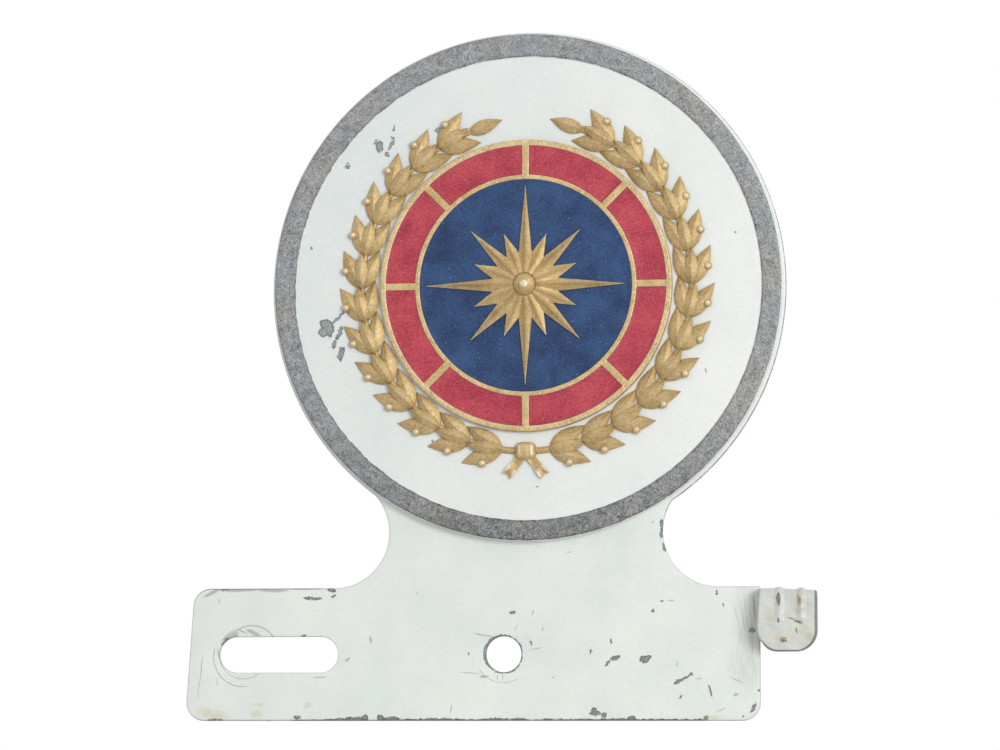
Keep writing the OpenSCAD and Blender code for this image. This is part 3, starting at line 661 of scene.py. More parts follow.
hookMarks = [
    {   # brown and yellow haze
        "marks": [(55.4, 3.0, 4.4, 2.2, 0), (58.6, 9.4, 1.6, 3.6, 0), (60.0, 2.6, 2.4, 3.0, -40),
                  (53.2, 7.6, 2.0, 2.6, 10), (59.2, 5.2, 3.0, 2.4, 0)],
        "ragged": 1.8, "soft": 0.8, "cover": 0.38, "dark": "#B3A883", "light": "#CFC8AC",
    },
    {   # rust that has bled into the paint
        "marks": [(58.7, 10.1, 0.75, 1.8, 0), (55.5, 2.7, 1.3, 0.7, 0)],
        "ragged": 0.7, "soft": 0.5, "cover": 0.75, "dark": "#7C5A36", "light": "#B08A5E",
    },
    {   # slits worn in the beads, small chips and bare edges
        "marks": [
            (54.6, 10.5, 0.8, 2.5, 3), (54.5, 6.3, 0.4, 1.0, 0), (58.4, 6.0, 1.6, 0.5, -22),
            (57.2, 6.7, 1.8, 0.22, -20), (55.6, 2.3, 1.2, 0.4, -8), (58.4, 10.6, 0.2, 1.5, 8),
            (58.0, 4.4, 0.2, 1.4, 12),
        ],
        "ragged": 0.5, "soft": 0.2, "cover": 0.9, "deep": True, "dark": "#3E3B35", "light": "#8F8D84",
    },
]
barPaint = {"light": "#EAECE5", "shade": "#D2DAD7", "steelDark": "#555A59", "steelLight": "#868B89",
            "slope": (0, 0, 0), "level": 0.5, "patch": 15, "cloudy": 0.3, "edgeWear": 0.75}
hookPaint = {"light": "#DEE2DC", "shade": "#BEBFB9", "steelDark": "#5E5E58", "steelLight": "#85847C",
             "slope": (0, 160, 0), "level": 1.1, "patch": 3, "cloudy": 0.35, "edgeWear": 0.7}

slotLoop = np.vstack([
    arc((-s.slotX - s.slotHalf, 0), s.slotR, 270, 90, 0.3),
    arc((-s.slotX + s.slotHalf, 0), s.slotR, 90, -90, 0.3),
])
slotLoop = dense(np.vstack([slotLoop, slotLoop[:1]]), 0.6)[:-1]
holeLoop = arc((0, 0), s.holeR, 360, 0, 0.2)[:-1]
sheet, sheetCrest = sheetPart(bracketOutline(s), [slotLoop, holeLoop], s)
cuts = s.paintCuts
paints = []
for name, low, high in zip(("Left", "Middle", "Right", "End"), [-100] + cuts, cuts + [100]):
    paints.append(paintMaterial("stovedWhite" + name, barPaint, marksBetween(barMarks, low, high), 0))
sheetPiece = makePiece("bracket_sheet", sheet, paints[0], ["bracket"], field=sheetCrest)
paintBands(sheetPiece, cuts, paints)
hook, hookCrest = hookPart(s)
hookCoat = paintMaterial("stovedWhiteOnHook", hookPaint, hookMarks, -s.hookReach)
makePiece("bracket_hook", hook, hookCoat, ["bracket"], field=hookCrest)
print("bracket done")


# Cast disc with its bare rim
def castingMaterial(name):
    # Zinc alloy as cast, the paint wiped off its rim: wormy granular grey metal with slow cool and warm
    # changes, dark pits and a few bright grains, darker and harsher towards the bottom, and painted shade
    # along its inner edge, where it steps down to the field. White paint is left on its wall and creeps over
    # its inner edge
    material, put, place = newMaterial(name)
    worms = {"Vector": place, "Scale": perMm(2.2), "Detail": 5.0, "Roughness": 0.7}
    grains = {"Vector": place, "Scale": perMm(0.7), "Detail": 4.0, "Roughness": 0.65}
    blotch = put("TexNoise", {**worms, "Distortion": 1.2})
    grit = put("TexNoise", {**grains, "Distortion": 2.4})
    tint = put("TexNoise", {"Vector": place, "Scale": perMm(9)})
    tone = summed(put, (blotch, 0.3), (grit, 0.7))
    centred = put("VectorMath", {0: place, 1: (0, 0, headZ * mm)}, "SUBTRACT")
    height = put("SeparateXYZ", {0: centred}, out=2)
    upwards = {"Value": height, "From Min": -51 * mm, "From Max": -28 * mm}  # over the rim's lowest part
    spread = put("MapRange", {**upwards, "To Min": 0.085, "To Max": 0.14})
    low = put("Math", {0: 0.5, 1: spread}, "SUBTRACT")
    high = put("Math", {0: 0.5, 1: spread}, "ADD")
    shade = put("MapRange", {"Value": tone, "From Min": low, "From Max": high})
    cool = put("Mix", {0: shade, 6: "#55595D", 7: "#ACB1B5"}, **blend)
    warm = put("Mix", {0: shade, 6: "#595957", 7: "#B4B3B0"}, **blend)
    part = put("MapRange", {"Value": tint, "From Min": 0.3, "From Max": 0.7})
    metal = put("Mix", {0: part, 6: cool, 7: warm}, **blend)
    # darker towards the bottom of the rim
    lowerDarkening = put("MapRange", {**upwards, "To Min": 0.71})
    inward = put("Attribute", out=2, attribute_name="crest")
    rough = put("TexNoise", worms)
    edge = put("Math", {0: rough, 1: -0.5, 2: inward}, "MULTIPLY_ADD")
    creep = put("MapRange", {"Value": edge, "From Min": -0.2, "From Max": -0.14,
                             "To Min": 1.0, "To Max": 0.0})
    edge = put("Math", {0: rough, 1: 0.3, 2: inward}, "MULTIPLY_ADD")
    rimW = discR - rimInR
    wall = put("MapRange", {"Value": edge, "From Min": rimW + 0.02, "From Max": rimW + 0.07})
    painted = put("Math", {0: creep, 1: wall}, "MAXIMUM")
    # painted shade of the rim's step down to the field: darker along its inner edge
    dark = put("MapRange", {"Value": inward, "From Min": 0.1, "From Max": 0.5, "To Min": 0.7})
    dark = put("Math", {0: dark, 1: lowerDarkening}, "MULTIPLY")
    metal = put("VectorMath", {0: metal, "Scale": dark}, "SCALE")
    spark = put("MapRange", {"Value": grit, "From Min": 0.68, "From Max": 0.76, "To Max": 0.6})
    metal = put("Mix", {0: spark, 6: metal, 7: "#DADDDC"}, **blend)
    surface = put("Mix", {0: painted, 6: metal, 7: "#E6E8E5"}, **blend)
    metallic = put("MapRange", {"Value": painted, "To Min": 0.7, "To Max": 0.0})
    bump = put("Bump", {"Height": summed(put, (blotch, 0.5), (grit, 1.0)), "Distance": 0.12 * mm})
    return finished(material, put, {"Base Color": surface, "Metallic": metallic, "Roughness": 0.5,
                                    "Normal": bump})


# The rim's inner edge was cut a little oval and off the middle, in millimetres: wider at the upper left
rimSizes = {"less": 0.34, "toRight": 0.21, "toTop": -0.28, "oval": 0.14, "slantOval": 0.1, "fade": 2.5}


def rimOval(radius, angle):
    # the inner edge's shift: a constant, one wave round the circle for its offset and two for its oval
    near = np.clip(1 - np.abs(radius - rimInR) / rimSizes["fade"], 0, 1)
    shift = rimSizes["toRight"] * cos(angle) + rimSizes["toTop"] * sin(angle) - rimSizes["less"]
    return near * (shift + rimSizes["oval"] * cos(2 * angle) + rimSizes["slantOval"] * sin(2 * angle))


def rimWobble(radius, angle):
    # the rim's top is cast a little uneven: lumps a few hundredths of a millimetre high, none on its wall
    top = ramp(radius, rimInR, rimInR + 0.6)
    return 0.035 * top * (lumps(radius * cos(angle), radius * sin(angle), 0, 7, 2) - 1)


casting = castingMaterial("zincAlloyAsCast")
corners = [(0, 0), (discR, 0), (discR, rimH), (rimInR, rimH), (rimInR, webT), (0, webT)]
rim = dense(rounded(corners, [0.15, 0.5, 0.3, 0]), 1.0)
disc = gridPart(onHead(lathe(rim, discSteps, rimWobble, rimOval)))
makePiece("disc_casting_shell", disc, casting, ["disc_casting"],
          field=np.repeat(rim[:, 0] - rimInR, discSteps))


# White enamel of the field, which stands up a little at the rim
fieldMarks = [
    {   # chips down to the grey metal, left of the badge; the rest are pinpricks
        "marks": [(headX + x, headZ + z, width, height, turn) for x, z, width, height, turn in (
            (-26.8, 32.3, 0.6, 1.2, -8), (-29.6, 28.5, 1.5, 2.5, 10), (-30.4, 29.6, 1.0, 0.6, 30),
            (-27.2, 28.9, 0.8, 2.4, -24), (-28.2, 26.9, 0.8, 1.0, -10), (-26.9, 29.9, 0.6, 1.3, 20),
            (-17.7, 31.5, 2.0, 1.1, -5), (-36.1, 24.6, 1.1, 1.1, 0), (-40.2, -7.2, 3.0, 1.8, -15),
            (-40.7, -8.6, 2.6, 1.8, 25), (-39.6, -8.2, 1.5, 3.2, 10), (-37.8, -5.9, 4.6, 0.6, 46),
            (-37.6, -9.0, 0.9, 2.6, -25), (-38.5, -11.2, 0.9, 1.9, -15), (-37.3, -13.3, 1.2, 3.0, -8),
            (-18.6, -30.8, 0.4, 0.4, 0), (2.2, -40.1, 0.35, 0.35, 0),
            (41.5, 10.0, 0.4, 0.3, 0), (-43.4, 8.2, 0.3, 0.4, 0),
        )],
        "ragged": 1.5, "soft": 0.1, "cover": 1.0, "deep": True, "dark": "#4F5A5B", "light": "#B4BABA",
    },
    {   # rust pinprick and faint rubs
        "marks": [(headX + 35.7, headZ - 17.4, 0.4, 1.0, 10), (headX - 33.0, headZ - 2.9, 0.3, 0.4, 0)],
        "ragged": 0.3, "soft": 0.4, "cover": 0.8, "dark": "#B9793E", "light": "#C8925A",
    },
]
# the field's slope is painted light: brighter towards the lower right, darker at the upper left
fieldPaint = {"light": "#EDEEEA", "shade": "#D4DBDA", "steelDark": "#6A6E6E", "steelLight": "#8C9190",
              "slope": (5.6, 0, -2.4), "level": 0.59, "patch": 20, "cloudy": 0.2, "edgeWear": 0.0}


def climb(profile, wallR, rise, reach):
    # how an enamel's top, the profile's second half, climbs where it wets the wall at wallR: by rise there,
    # falling off towards the middle over reach
    onTop = (np.arange(len(profile)) > len(profile) // 2)[:, None]
    return lambda radius, angle: rise * np.exp(-(wallR - radius) / reach) * onTop


enamel = dense(rounded([(0, webT), (rimInR, webT), (rimInR, fieldZ), (0, fieldZ)], [0, 0]), 0.7)
field = gridPart(onHead(lathe(enamel, discSteps, climb(enamel, rimInR, 0.12, 0.5), rimOval)))
makePiece("white_field", field, paintMaterial("glazedWhiteField", fieldPaint, fieldMarks, -fieldZ),
          ["white_enamel"])
print("disc done")


# Gilt parts of the badge
def giltMaterial(name):
    # Brass struck in a die and gilded, worn matt: pale ochre gold under a dull skin with a fine sandy grain,
    # brown in the hollows, both tarnish and painted shade, and nearly white on the high places, both rubbed
    # gilt and painted highlight
    material, put, place = newMaterial(name)
    cloud = put("TexNoise", {"Vector": place, "Scale": perMm(4), "Detail": 4.0, "Roughness": 0.65})
    grain = put("TexNoise", {"Vector": place, "Scale": perMm(0.5), "Detail": 3.0, "Roughness": 0.7,
                             "Distortion": 1.0})
    tone = summed(put, (cloud, 0.5), (grain, 0.5))
    tone = put("MapRange", {"Value": tone, "From Min": 0.38, "From Max": 0.62})
    gold = put("Mix", {0: tone, 6: "#AE9360", 7: "#D6BB89"}, **blend)
    crest = put("Attribute", out=2, attribute_name="crest")
    # the gold is painted nearly white where the crest is high: rubbed gilt and painted highlight
    rubbedAndPaintedLight = put("Math", {0: grain, 1: 0.5, 2: crest}, "MULTIPLY_ADD")
    high = put("MapRange", {"Value": rubbedAndPaintedLight, "From Min": 0.8, "From Max": 1.2, "To Max": 0.9})
    gold = put("Mix", {0: high, 6: gold, 7: "#EFE6D2"}, **blend)
    # painted brown where the crest is low, in the hollows and at the relief's feet: tarnish and painted shade
    low = put("MapRange", {"Value": crest, "From Max": 0.28, "To Min": 0.6, "To Max": 0.0})
    gold = put("Mix", {0: low, 6: gold, 7: "#7C6438"}, **blend)
    rough = put("MapRange", {"Value": crest, "To Min": 0.6, "To Max": 0.42})
    bump = put("Bump", {"Height": grain, "Distance": 0.07 * mm})
    return finished(material, put, {"Base Color": gold, "Metallic": 0.45, "Roughness": rough, "Normal": bump})


gilt = giltMaterial("wornGiltBrass")
badgeSizes = {
    "holeR": 1.05, "ringInR": groundR + 1.0, "ringOutR": plateR - 1.2, "cells": 8, "barW": 1.5,
    "barTuck": 0.4, "barDrop": 0.03, "borderEdgeR": 0.22, "plateEdgeR": 0.25,
}
b = SimpleNamespace(**badgeSizes)
plateCorners = [
    (b.holeR, fieldZ), (plateR, fieldZ), (plateR, borderZ), (b.ringOutR, borderZ), (b.ringOutR, floorZ),
    (b.ringInR, floorZ), (b.ringInR, borderZ), (groundR, borderZ), (groundR, floorZ), (b.holeR, floorZ),
]
soft = b.borderEdgeR
plateProfile = rounded(plateCorners + plateCorners[:1], [0, b.plateEdgeR, soft, 0, 0, soft, soft, 0, 0])[:-1]
reach, height = plateProfile.T
plateCrest = ramp(height, fillZ, borderZ)
# the borders keep a high crest at their rounded edges and a lower one on their middles, so the gilt paints the
# edges pale: rubbing and painted highlight
inBorder = np.minimum(np.abs(reach - (b.ringOutR + plateR) / 2) / 0.6,
                      np.abs(reach - (groundR + b.ringInR) / 2) / 0.5)
plateCrest = plateCrest * np.clip(inBorder, 0.45, 1) + 0.3 * (plateCrest == 0) * (height > fieldZ)
plate = gridPart(lathe(plateProfile, plateSteps), wrapRows=True)


def ringBar(turn, b):
    # one bar across the red ring: a rounded section carried along the ring's width
    half, top = b.barW / 2, borderZ - b.barDrop
    along = np.linspace(b.ringInR - b.barTuck, b.ringOutR + b.barTuck, 9)[:, None]
    corners = [(-half, floorZ - 0.2), (-half, top), (half, top), (half, floorZ - 0.2)]
    aside, height = rounded(corners, [b.borderEdgeR] * 2).T
    return polar(along, 2 * pi * turn / b.cells, height, aside)


bars = [ringBar(i, b) for i in range(b.cells)]
barZ = bars[0][..., 2]
barCrest = ramp(barZ, fillZ, borderZ) * np.where(np.isclose(barZ, borderZ - b.barDrop), 0.6, 1)
barPart, barField = cappedPart([(bar, barCrest) for bar in bars])
points, faces = joined([plate, barPart])
makePiece("medallion_plate", (onHead(points), faces), gilt, ["medallion_base"],
          field=np.append(np.repeat(plateCrest, plateSteps), barField))


# Enamels of the badge
def enamelMaterial(name, deep, pale, fleck, streak):
    # Soft enamel fired or baked in cells and not ground flat: a glassy skin over colour that has settled
    # in fine streaks and specks, slightly dulled by age
    material, put, place = newMaterial(name)
    long = put("Mapping", {"Vector": place, "Scale": (1, 1, streak)})
    grain = put("TexNoise", {"Vector": long, "Scale": perMm(0.5), "Detail": 4.0, "Roughness": 0.75})
    cloud = put("TexNoise", {"Vector": place, "Scale": perMm(5), "Detail": 3.0})
    tone = summed(put, (cloud, 0.35), (grain, 0.65))
    tone = put("MapRange", {"Value": tone, "From Min": 0.4, "From Max": 0.6})
    colour = put("Mix", {0: tone, 6: deep, 7: pale}, **blend)
    specks = put("TexVoronoi", {"Vector": place, "Scale": perMm(1.6)})
    speck = put("MapRange", {"Value": specks, "From Min": 0.1, "From Max": 0.06, "To Max": 0.7})
    colour = put("Mix", {0: speck, 6: colour, 7: fleck}, **blend)
    bump = put("Bump", {"Height": grain, "Strength": 0.6, "Distance": 0.03 * mm})
    return finished(material, put, {"Base Color": colour, "Roughness": 0.45, "Normal": bump,
                                    "Specular IOR Level": 0.35})


navy = enamelMaterial("softEnamelNavy", "#0F2850", "#30507C", "#6F87A8", 2.2)
red = enamelMaterial("softEnamelCrimson", "#96253B", "#C44E59", "#D5858B", 1.6)
corners = [(b.holeR, floorZ), (groundR, floorZ), (groundR, fillZ), (b.holeR, fillZ)]
enamel = dense(rounded(corners, [0, 0]), 0.4)
ground = gridPart(onHead(lathe(enamel, 240, climb(enamel, groundR, 0.09, 0.4))), wrapRows=True)
makePiece("navy_ground", ground, navy, ["navy_enamel"])


def redCell(turn, b):
    # one cell between two bars: rows run along the ring, each a flat floor and a top that climbs to its walls
    n, m = 36, 14
    v = np.linspace(0, 1, n)[:, None]
    r = np.append(np.linspace(b.ringInR, b.ringOutR, m), [b.ringOutR, b.ringInR])
    top = np.append(np.ones(m), [0, 0])
    first = np.arcsin(b.barW / 2 / r)
    step = 2 * pi / b.cells
    a = turn * step + first + v * (step - 2 * first)
    wall = np.minimum(np.minimum(r - b.ringInR, b.ringOutR - r), np.minimum(v, 1 - v) * step * r)
    return polar(r, a, floorZ + top * (fillZ - floorZ + 0.1 * np.exp(-wall / 0.4)))


points, faces = joined([gridPart(redCell(i, b), caps=True) for i in range(b.cells)])
makePiece("red_cells", (onHead(points), faces), red, ["red_enamel"])
print("badge plate and enamels done")


# Compass star and its rivet
starSizes = {
    "long": groundR - 1.2, "short": 15.5, "small": 11.0, "valley": 6.6, "edgeT": 0.4, "rise": 1.9,
    "rivetR": 2.3, "rivetH": 1.299, "pocketSink": 0.1, "gap": 0.05, "hollow": 0.16, "sides": 10, "rows": 16,
}
t = SimpleNamespace(**starSizes)
pocketR = t.rivetR + t.gap
seatZ = fillZ + t.edgeT + t.rise * (1 - pocketR / t.valley) - t.pocketSink


def starGrid(t):
    # rows from the rivet's hole over the pocket, the facets and the edge: along each ray the height falls
    # straight from the peak to the edge, and between ridge and valley it is hollowed a little
    turn = [t.long, t.valley, t.small, t.valley, t.short, t.valley, t.small, t.valley]
    reach = np.array(turn * 4)
    angle = np.arange(len(reach)) * 2 * pi / len(reach)
    tips = np.stack([reach * cos(angle), reach * sin(angle)], -1)
    part = np.linspace(0, 1, t.sides, endpoint=False)[None, :, None]
    rim = (tips[:, None] * (1 - part) + np.roll(tips, -1, 0)[:, None] * part).reshape(-1, 2)
    between = np.tile(part.ravel(), len(reach))
    far = np.linalg.norm(rim, axis=1)
    unit = rim / far[:, None]
    share = np.linspace(0, 1, t.rows)[:, None]
    radius = pocketR + share * (far - pocketR)
    down = radius / far
    edgeZ = fillZ + t.edgeT
    hollow = t.hollow * sin(pi * between) * sin(pi * share)
    height = edgeZ + t.rise * (1 - down) - hollow
    rows = [(b.holeR, fillZ), (b.holeR, seatZ), (pocketR, seatZ), *zip(radius, height),
            (far, edgeZ - 0.06), (far, fillZ)]
    grid = np.stack([np.column_stack([r * unit[:, 0], r * unit[:, 1], z + 0 * far]) for r, z in rows])
    # the crest is highest on the ridges and at the outer edge, which the gilt paints pale: rubbing and painted
    # highlight
    ridge = np.abs(between - 0.5) * 2
    crest = np.zeros(grid.shape[:2])
    crest[3:-2] = 0.42 + 0.34 * ridge ** 8 * (1 - 0.3 * share) + 0.2 * (share > 0.96)
    crest[-2] = 0.7
    return grid, crest


grid, crest = starGrid(t)
makePiece("compass_star_faceted", gridPart(onHead(grid), wrapRows=True), gilt, ["compass_star"],
          sharpAngle=14, field=crest)
domeR = (t.rivetR ** 2 + t.rivetH ** 2) / 2 / t.rivetH
rise = np.linspace(np.arcsin(t.rivetR / domeR), 0, 14)
dome = np.stack([domeR * sin(rise), seatZ + t.rivetH - domeR * (1 - cos(rise))], -1)
dome = np.vstack([[(0, fieldZ), (1, fieldZ), (1, seatZ), (t.rivetR, seatZ)], dome])
# the dome's top gets a high crest, which the gilt paints pale: rubbing and painted highlight
rivetCrest = 0.4 + 0.4 * (dome[:, 1] > seatZ + 0.9 * t.rivetH)
makePiece("star_rivet_dome", gridPart(onHead(lathe(dome, smallSteps))), gilt, ["star_rivet"],
          field=np.repeat(rivetCrest, smallSteps))
print("star done")


# Laurel branches: leaves in threes on a stem, with berries on stalks between them
laurelSizes = {
    "gap": 0.35, "stemW": 1.4, "first": 8, "last": 160, "pitch": 6.7, "tipLap": 3,
    "leafL": 8.8, "leafW": 3.5, "splay": 25, "midL": 7.4, "midW": 2.9, "midLift": 0.7,
    "edgeT": 0.5, "rise": 0.95, "vein": 0.07, "berryR": 0.85, "berryOut": 3.4, "knotW": 4.2,
}
w = SimpleNamespace(**laurelSizes)
splay = np.radians(w.splay)
stemR = plateR + w.gap + w.leafL / 2 * sin(splay) + w.leafW / 2 * cos(splay)
leafStep = np.degrees(w.pitch / stemR)
leafRows = int((w.last - w.first) / leafStep)


def leafGrid(angle, lean, length, width, base, w):
    # a lens of stations along its rib; each section is flat below and roofed above, with a rib line,
    # slanting veins and an edge that thins to the tip. angle and lean place it on the stem, in degrees
    n = (1 - cos(pi * np.linspace(0, 1, 19)[:, None])) / 2
    u = np.append(np.linspace(-1, 1, 15), [0.5, -0.5])
    above = np.append(np.ones(15), [0, 0])
    body = sin(pi * np.clip(n, 0.004, 0.996) ** 0.8)
    full = body ** 0.55
    roof = 0.78 * (1 - np.abs(u) ** 1.5) + 0.22 * np.exp(-(u / 0.13) ** 2)
    vein = w.vein * sin(2 * pi * (5.5 * n - 1.7 * np.abs(u))) * np.clip(np.abs(u) * 5, 0, 1)
    height = base + above * full * (w.edgeT * 0.8 + w.rise * roof + vein * (1 - np.abs(u) ** 4))
    a = np.radians(angle - 90)
    leaf = polar(n * length, a + pi / 2 + np.radians(lean), height, -u * body * width / 2)
    # its crest is low at the edges and underneath and high on the rib, so the gilt paints the edges brown and
    # the rib pale: painted shade and highlight, with tarnish and rubbing
    return leaf + polar(stemR, a, 0), above * (0.18 + 0.5 * full * roof + 2.0 * vein * full)


def onStem(angle, outward, z):
    # points beside the stem's middle line, angle degrees from the foot of the wreath
    return polar(stemR + outward, np.radians(angle - 90), z)


def stemGrid(w):
    # a half-round rod bent along the wreath, thinner towards its tip
    start = np.degrees(np.arcsin(w.knotW / 2 / stemR))
    stop = w.first + leafRows * leafStep + w.tipLap
    angle = np.linspace(start, stop, 120)[:, None]
    q = np.linspace(0, 2 * pi, 14, endpoint=False)
    thin = 1 - 0.35 * (angle - start) / (stop - start)
    return onStem(angle, w.stemW / 2 * thin * cos(q), fieldZ + 0.05 + 0.6 * np.clip(sin(q), -0.05, 1))


def berryParts(angle, w):
    # a small ball on a thin curved stalk that leaves the stem half a step before it
    q = np.linspace(0, 2 * pi, 12, endpoint=False)
    p = np.linspace(0.02, pi - 0.02, 9)[:, None]
    ball = onStem(angle, w.berryOut, fieldZ + 0.62) + w.berryR * polar(sin(p), q, cos(p))
    ball[..., 2] = np.maximum(ball[..., 2], fieldZ + 0.02)
    n = np.linspace(0, 1, 7)[:, None]
    stalk = onStem(angle - leafStep * 0.45 * (1 - n), w.berryOut * n ** 1.5 + 0.22 * cos(q),
                   fieldZ + 0.3 + 0.28 * sin(q))
    # the ball's crest rises to its top and falls underneath, so the gilt paints its top pale and its underside
    # brown: painted highlight and shade, with rubbing and tarnish
    return [(ball, 0.35 + 0.4 * cos(p) + 0 * q), (stalk, 0.3 + 0 * n * q)]


def branch(w):
    # the branch on the right: stem, leaves and berries as grids with their crest fields
    stem = stemGrid(w)
    grids = [(stem, 0.3 + 0 * stem[..., 0])]
    for i in range(leafRows):
        angle = w.first + i * leafStep
        for lean in (-w.splay, w.splay):
            grids.append(leafGrid(angle, lean, w.leafL, w.leafW, fieldZ, w))
        grids.append(leafGrid(angle, 0, w.midL, w.midW, fieldZ + w.midLift, w))
        grids += berryParts(angle + leafStep / 2, w)
    grids.append(leafGrid(w.first + leafRows * leafStep, 0, w.midL, w.midW, fieldZ, w))
    return grids


grids = branch(w)
for side, name in ((1, "laurel_right"), (-1, "laurel_left")):
    part, field = cappedPart([(onHead(grid * [side, 1, 1]), crest) for grid, crest in grids])
    makePiece(name + "_branch", part, gilt, [name], sharpAngle=60, field=field)


# Ribbon tied round the feet of the branches
tieSizes = {"knotW": w.knotW, "knotH": 3.6, "knotT": 1.9, "endL": 6.2, "endW": 2.0, "endT": 0.9, "lean": 38}
k = SimpleNamespace(**tieSizes)


def ribbonEnd(side, k):
    # a strip that leaves the knot at a slant, waved along its length and cut to a swallowtail
    n = np.linspace(0, 1, 30)[:, None]
    u = np.append(np.linspace(-1, 1, 13), np.linspace(1, -1, 5))
    top = np.append(np.ones(13), np.zeros(5))
    notch = k.endW / 2 * (1 - np.abs(u)) * n ** 3
    wide = k.endW / 2 * (0.72 + 0.28 * n)
    fold = 0.16 * sin(2 * pi * (1.4 * n + 0.1)) + 0.1 * np.abs(u)
    height = fieldZ + top * (k.endT - 0.24 + fold)
    strip = polar(n * k.endL - notch, np.radians(-90 + side * k.lean), height, u * wide)
    return strip - [0, stemR, 0], top * (0.35 + 1.6 * fold + 0.25 * np.abs(u) ** 6)


def knotGrid(k):
    # a pillow over the stems, pinched by three folds that run across it
    def square(wave):
        # the wave with flatter tops: its 0.6th power, with its sign
        return np.sign(wave) * np.abs(wave) ** 0.6

    p = np.linspace(0.03, pi - 0.03, 26)[:, None]
    q = np.linspace(0, 2 * pi, 40, endpoint=False)
    x = k.knotW / 2 * square(cos(p)) + 0 * q
    y = k.knotH / 2 * square(sin(p)) * square(cos(q))
    z = np.clip(square(sin(p)) * square(sin(q)), 0, 1)
    folds = 0.07 * cos(2 * pi * x / 1.3) * sin(p)
    height = fieldZ + z * (k.knotT - 0.1 + folds)
    return np.stack([x, y - stemR, height], -1), 0.25 + 0.35 * z + 3 * folds


tie = [ribbonEnd(1, k), ribbonEnd(-1, k), knotGrid(k)]
part, field = cappedPart([(onHead(grid), crest) for grid, crest in tie])
makePiece("wreath_ribbon", part, gilt, ["wreath_tie"], sharpAngle=50, field=field)
print("wreath done")


# Studs, washers and nuts behind the head
def platedMaterial(name):
    # Zinc plated steel gone dull: grey metal with cloudy whitish bloom, darker deep in the threads' grooves
    material, put, place = newMaterial(name)
    cloud = put("TexNoise", {"Vector": place, "Scale": perMm(1.6), "Detail": 5.0, "Roughness": 0.7})
    tone = put("MapRange", {"Value": cloud, "From Min": 0.35, "From Max": 0.65})
    metal = put("Mix", {0: tone, 6: "#8E9091", 7: "#C4C5C0"}, **blend)
    crest = put("Attribute", out=2, attribute_name="crest")
    # darker where the threads' grooves are deepest
    grooveDarkening = put("MapRange", {"Value": crest, "To Max": 0.75})
    metal = put("Mix", {0: grooveDarkening, 6: metal, 7: "#4A4742"}, **blend)
    rough = put("MapRange", {"Value": tone, "To Min": 0.32, "To Max": 0.5})
    bump = put("Bump", {"Height": cloud, "Strength": 0.6, "Distance": 0.03 * mm})
    return finished(material, put, {"Base Color": metal, "Metallic": 1.0, "Roughness": rough, "Normal": bump})


plated = platedMaterial("dullZincPlate")
fixingSizes = {
    "inset": 11.4, "studR": 2.05, "sheetT": s.sheetT, "washerR": 4.75, "washerT": 0.9, "lockR": 3.65,
    "lockT": 1.2, "lockSlit": 0.8, "nutAf": 8.7, "nutT": 3.3, "nutBevel": 1.7, "proud": 1.6, "pitch": 0.8,
    "threadDeep": 0.3, "gap": 0.05,
}
f = SimpleNamespace(**fixingSizes)
studX = plateR - f.inset
washerZ = -f.sheetT
lockZ = washerZ - f.washerT
nutZ = lockZ - f.lockT
studEnd = nutZ - f.nutT - f.proud


def atStuds(grid, **how):
    # the same grid at both studs
    return joined([gridPart(onHead(grid + [side * studX, 0, 0]), **how) for side in (-1, 1)])


def studGrid(f):
    # a rod whose radius follows a helix beyond the nut's face, plain inside the badge, with a chamfered end
    z = [[fieldZ], np.arange(nutZ, studEnd + 0.5, -0.08), np.linspace(studEnd + 0.5, studEnd, 8)]
    z = np.concatenate(z)[:, None]
    a = np.linspace(0, 2 * pi, 40, endpoint=False)
    phase = (z / f.pitch - a / (2 * pi)) % 1
    groove = f.threadDeep * (1 - np.abs(2 * phase - 1)) ** 0.8 * (z < nutZ)
    chamfer = np.clip(studEnd + 0.5 - z, 0, 0.5)
    return polar(np.minimum(f.studR - groove, f.studR - chamfer), a, z)


def ringProfile(outR, top, thick, radii, f):
    # the closed section of a ring round a stud: its bore, its two flat faces and its rounded edges
    inR, low = f.studR + f.gap, top - thick
    return rounded([(inR, top), (outR, top), (outR, low), (inR, low), (inR, top)], radii)[:-1]


def lockGrid(f):
    # a ring's section carried nearly all the way round, up to the slit between its two ends
    slit = f.lockSlit / 2 / f.lockR
    r, z = ringProfile(f.lockR, lockZ, f.lockT, [0.15] * 3, f).T
    return polar(r, np.linspace(slit, 2 * pi - slit, 80)[:, None], z)


def nutGrid(f):
    # a hexagon's radius over the angle, cut back to a cone near the outer face, with a countersunk hole
    a = np.linspace(0, 2 * pi, 144, endpoint=False)[None]
    hexagon = f.nutAf / 2 / cos((a + pi / 6) % (pi / 3) - pi / 6)
    face = nutZ - f.nutT
    up = np.array([*np.linspace(0, 0.42, 8), f.nutT - 0.1, f.nutT])[:, None]
    outer = np.minimum(hexagon, f.nutAf / 2 * 0.985 + up * f.nutBevel)
    outer[-1] = outer[-1] - 0.1
    hole = 0 * a + f.studR + f.gap
    levels = np.concatenate([[nutZ, face + 0.35, face], face + up.ravel(), [nutZ]])[:, None]
    return polar(np.vstack([hole, hole, hole + 0.35, outer, hole]), a, levels)


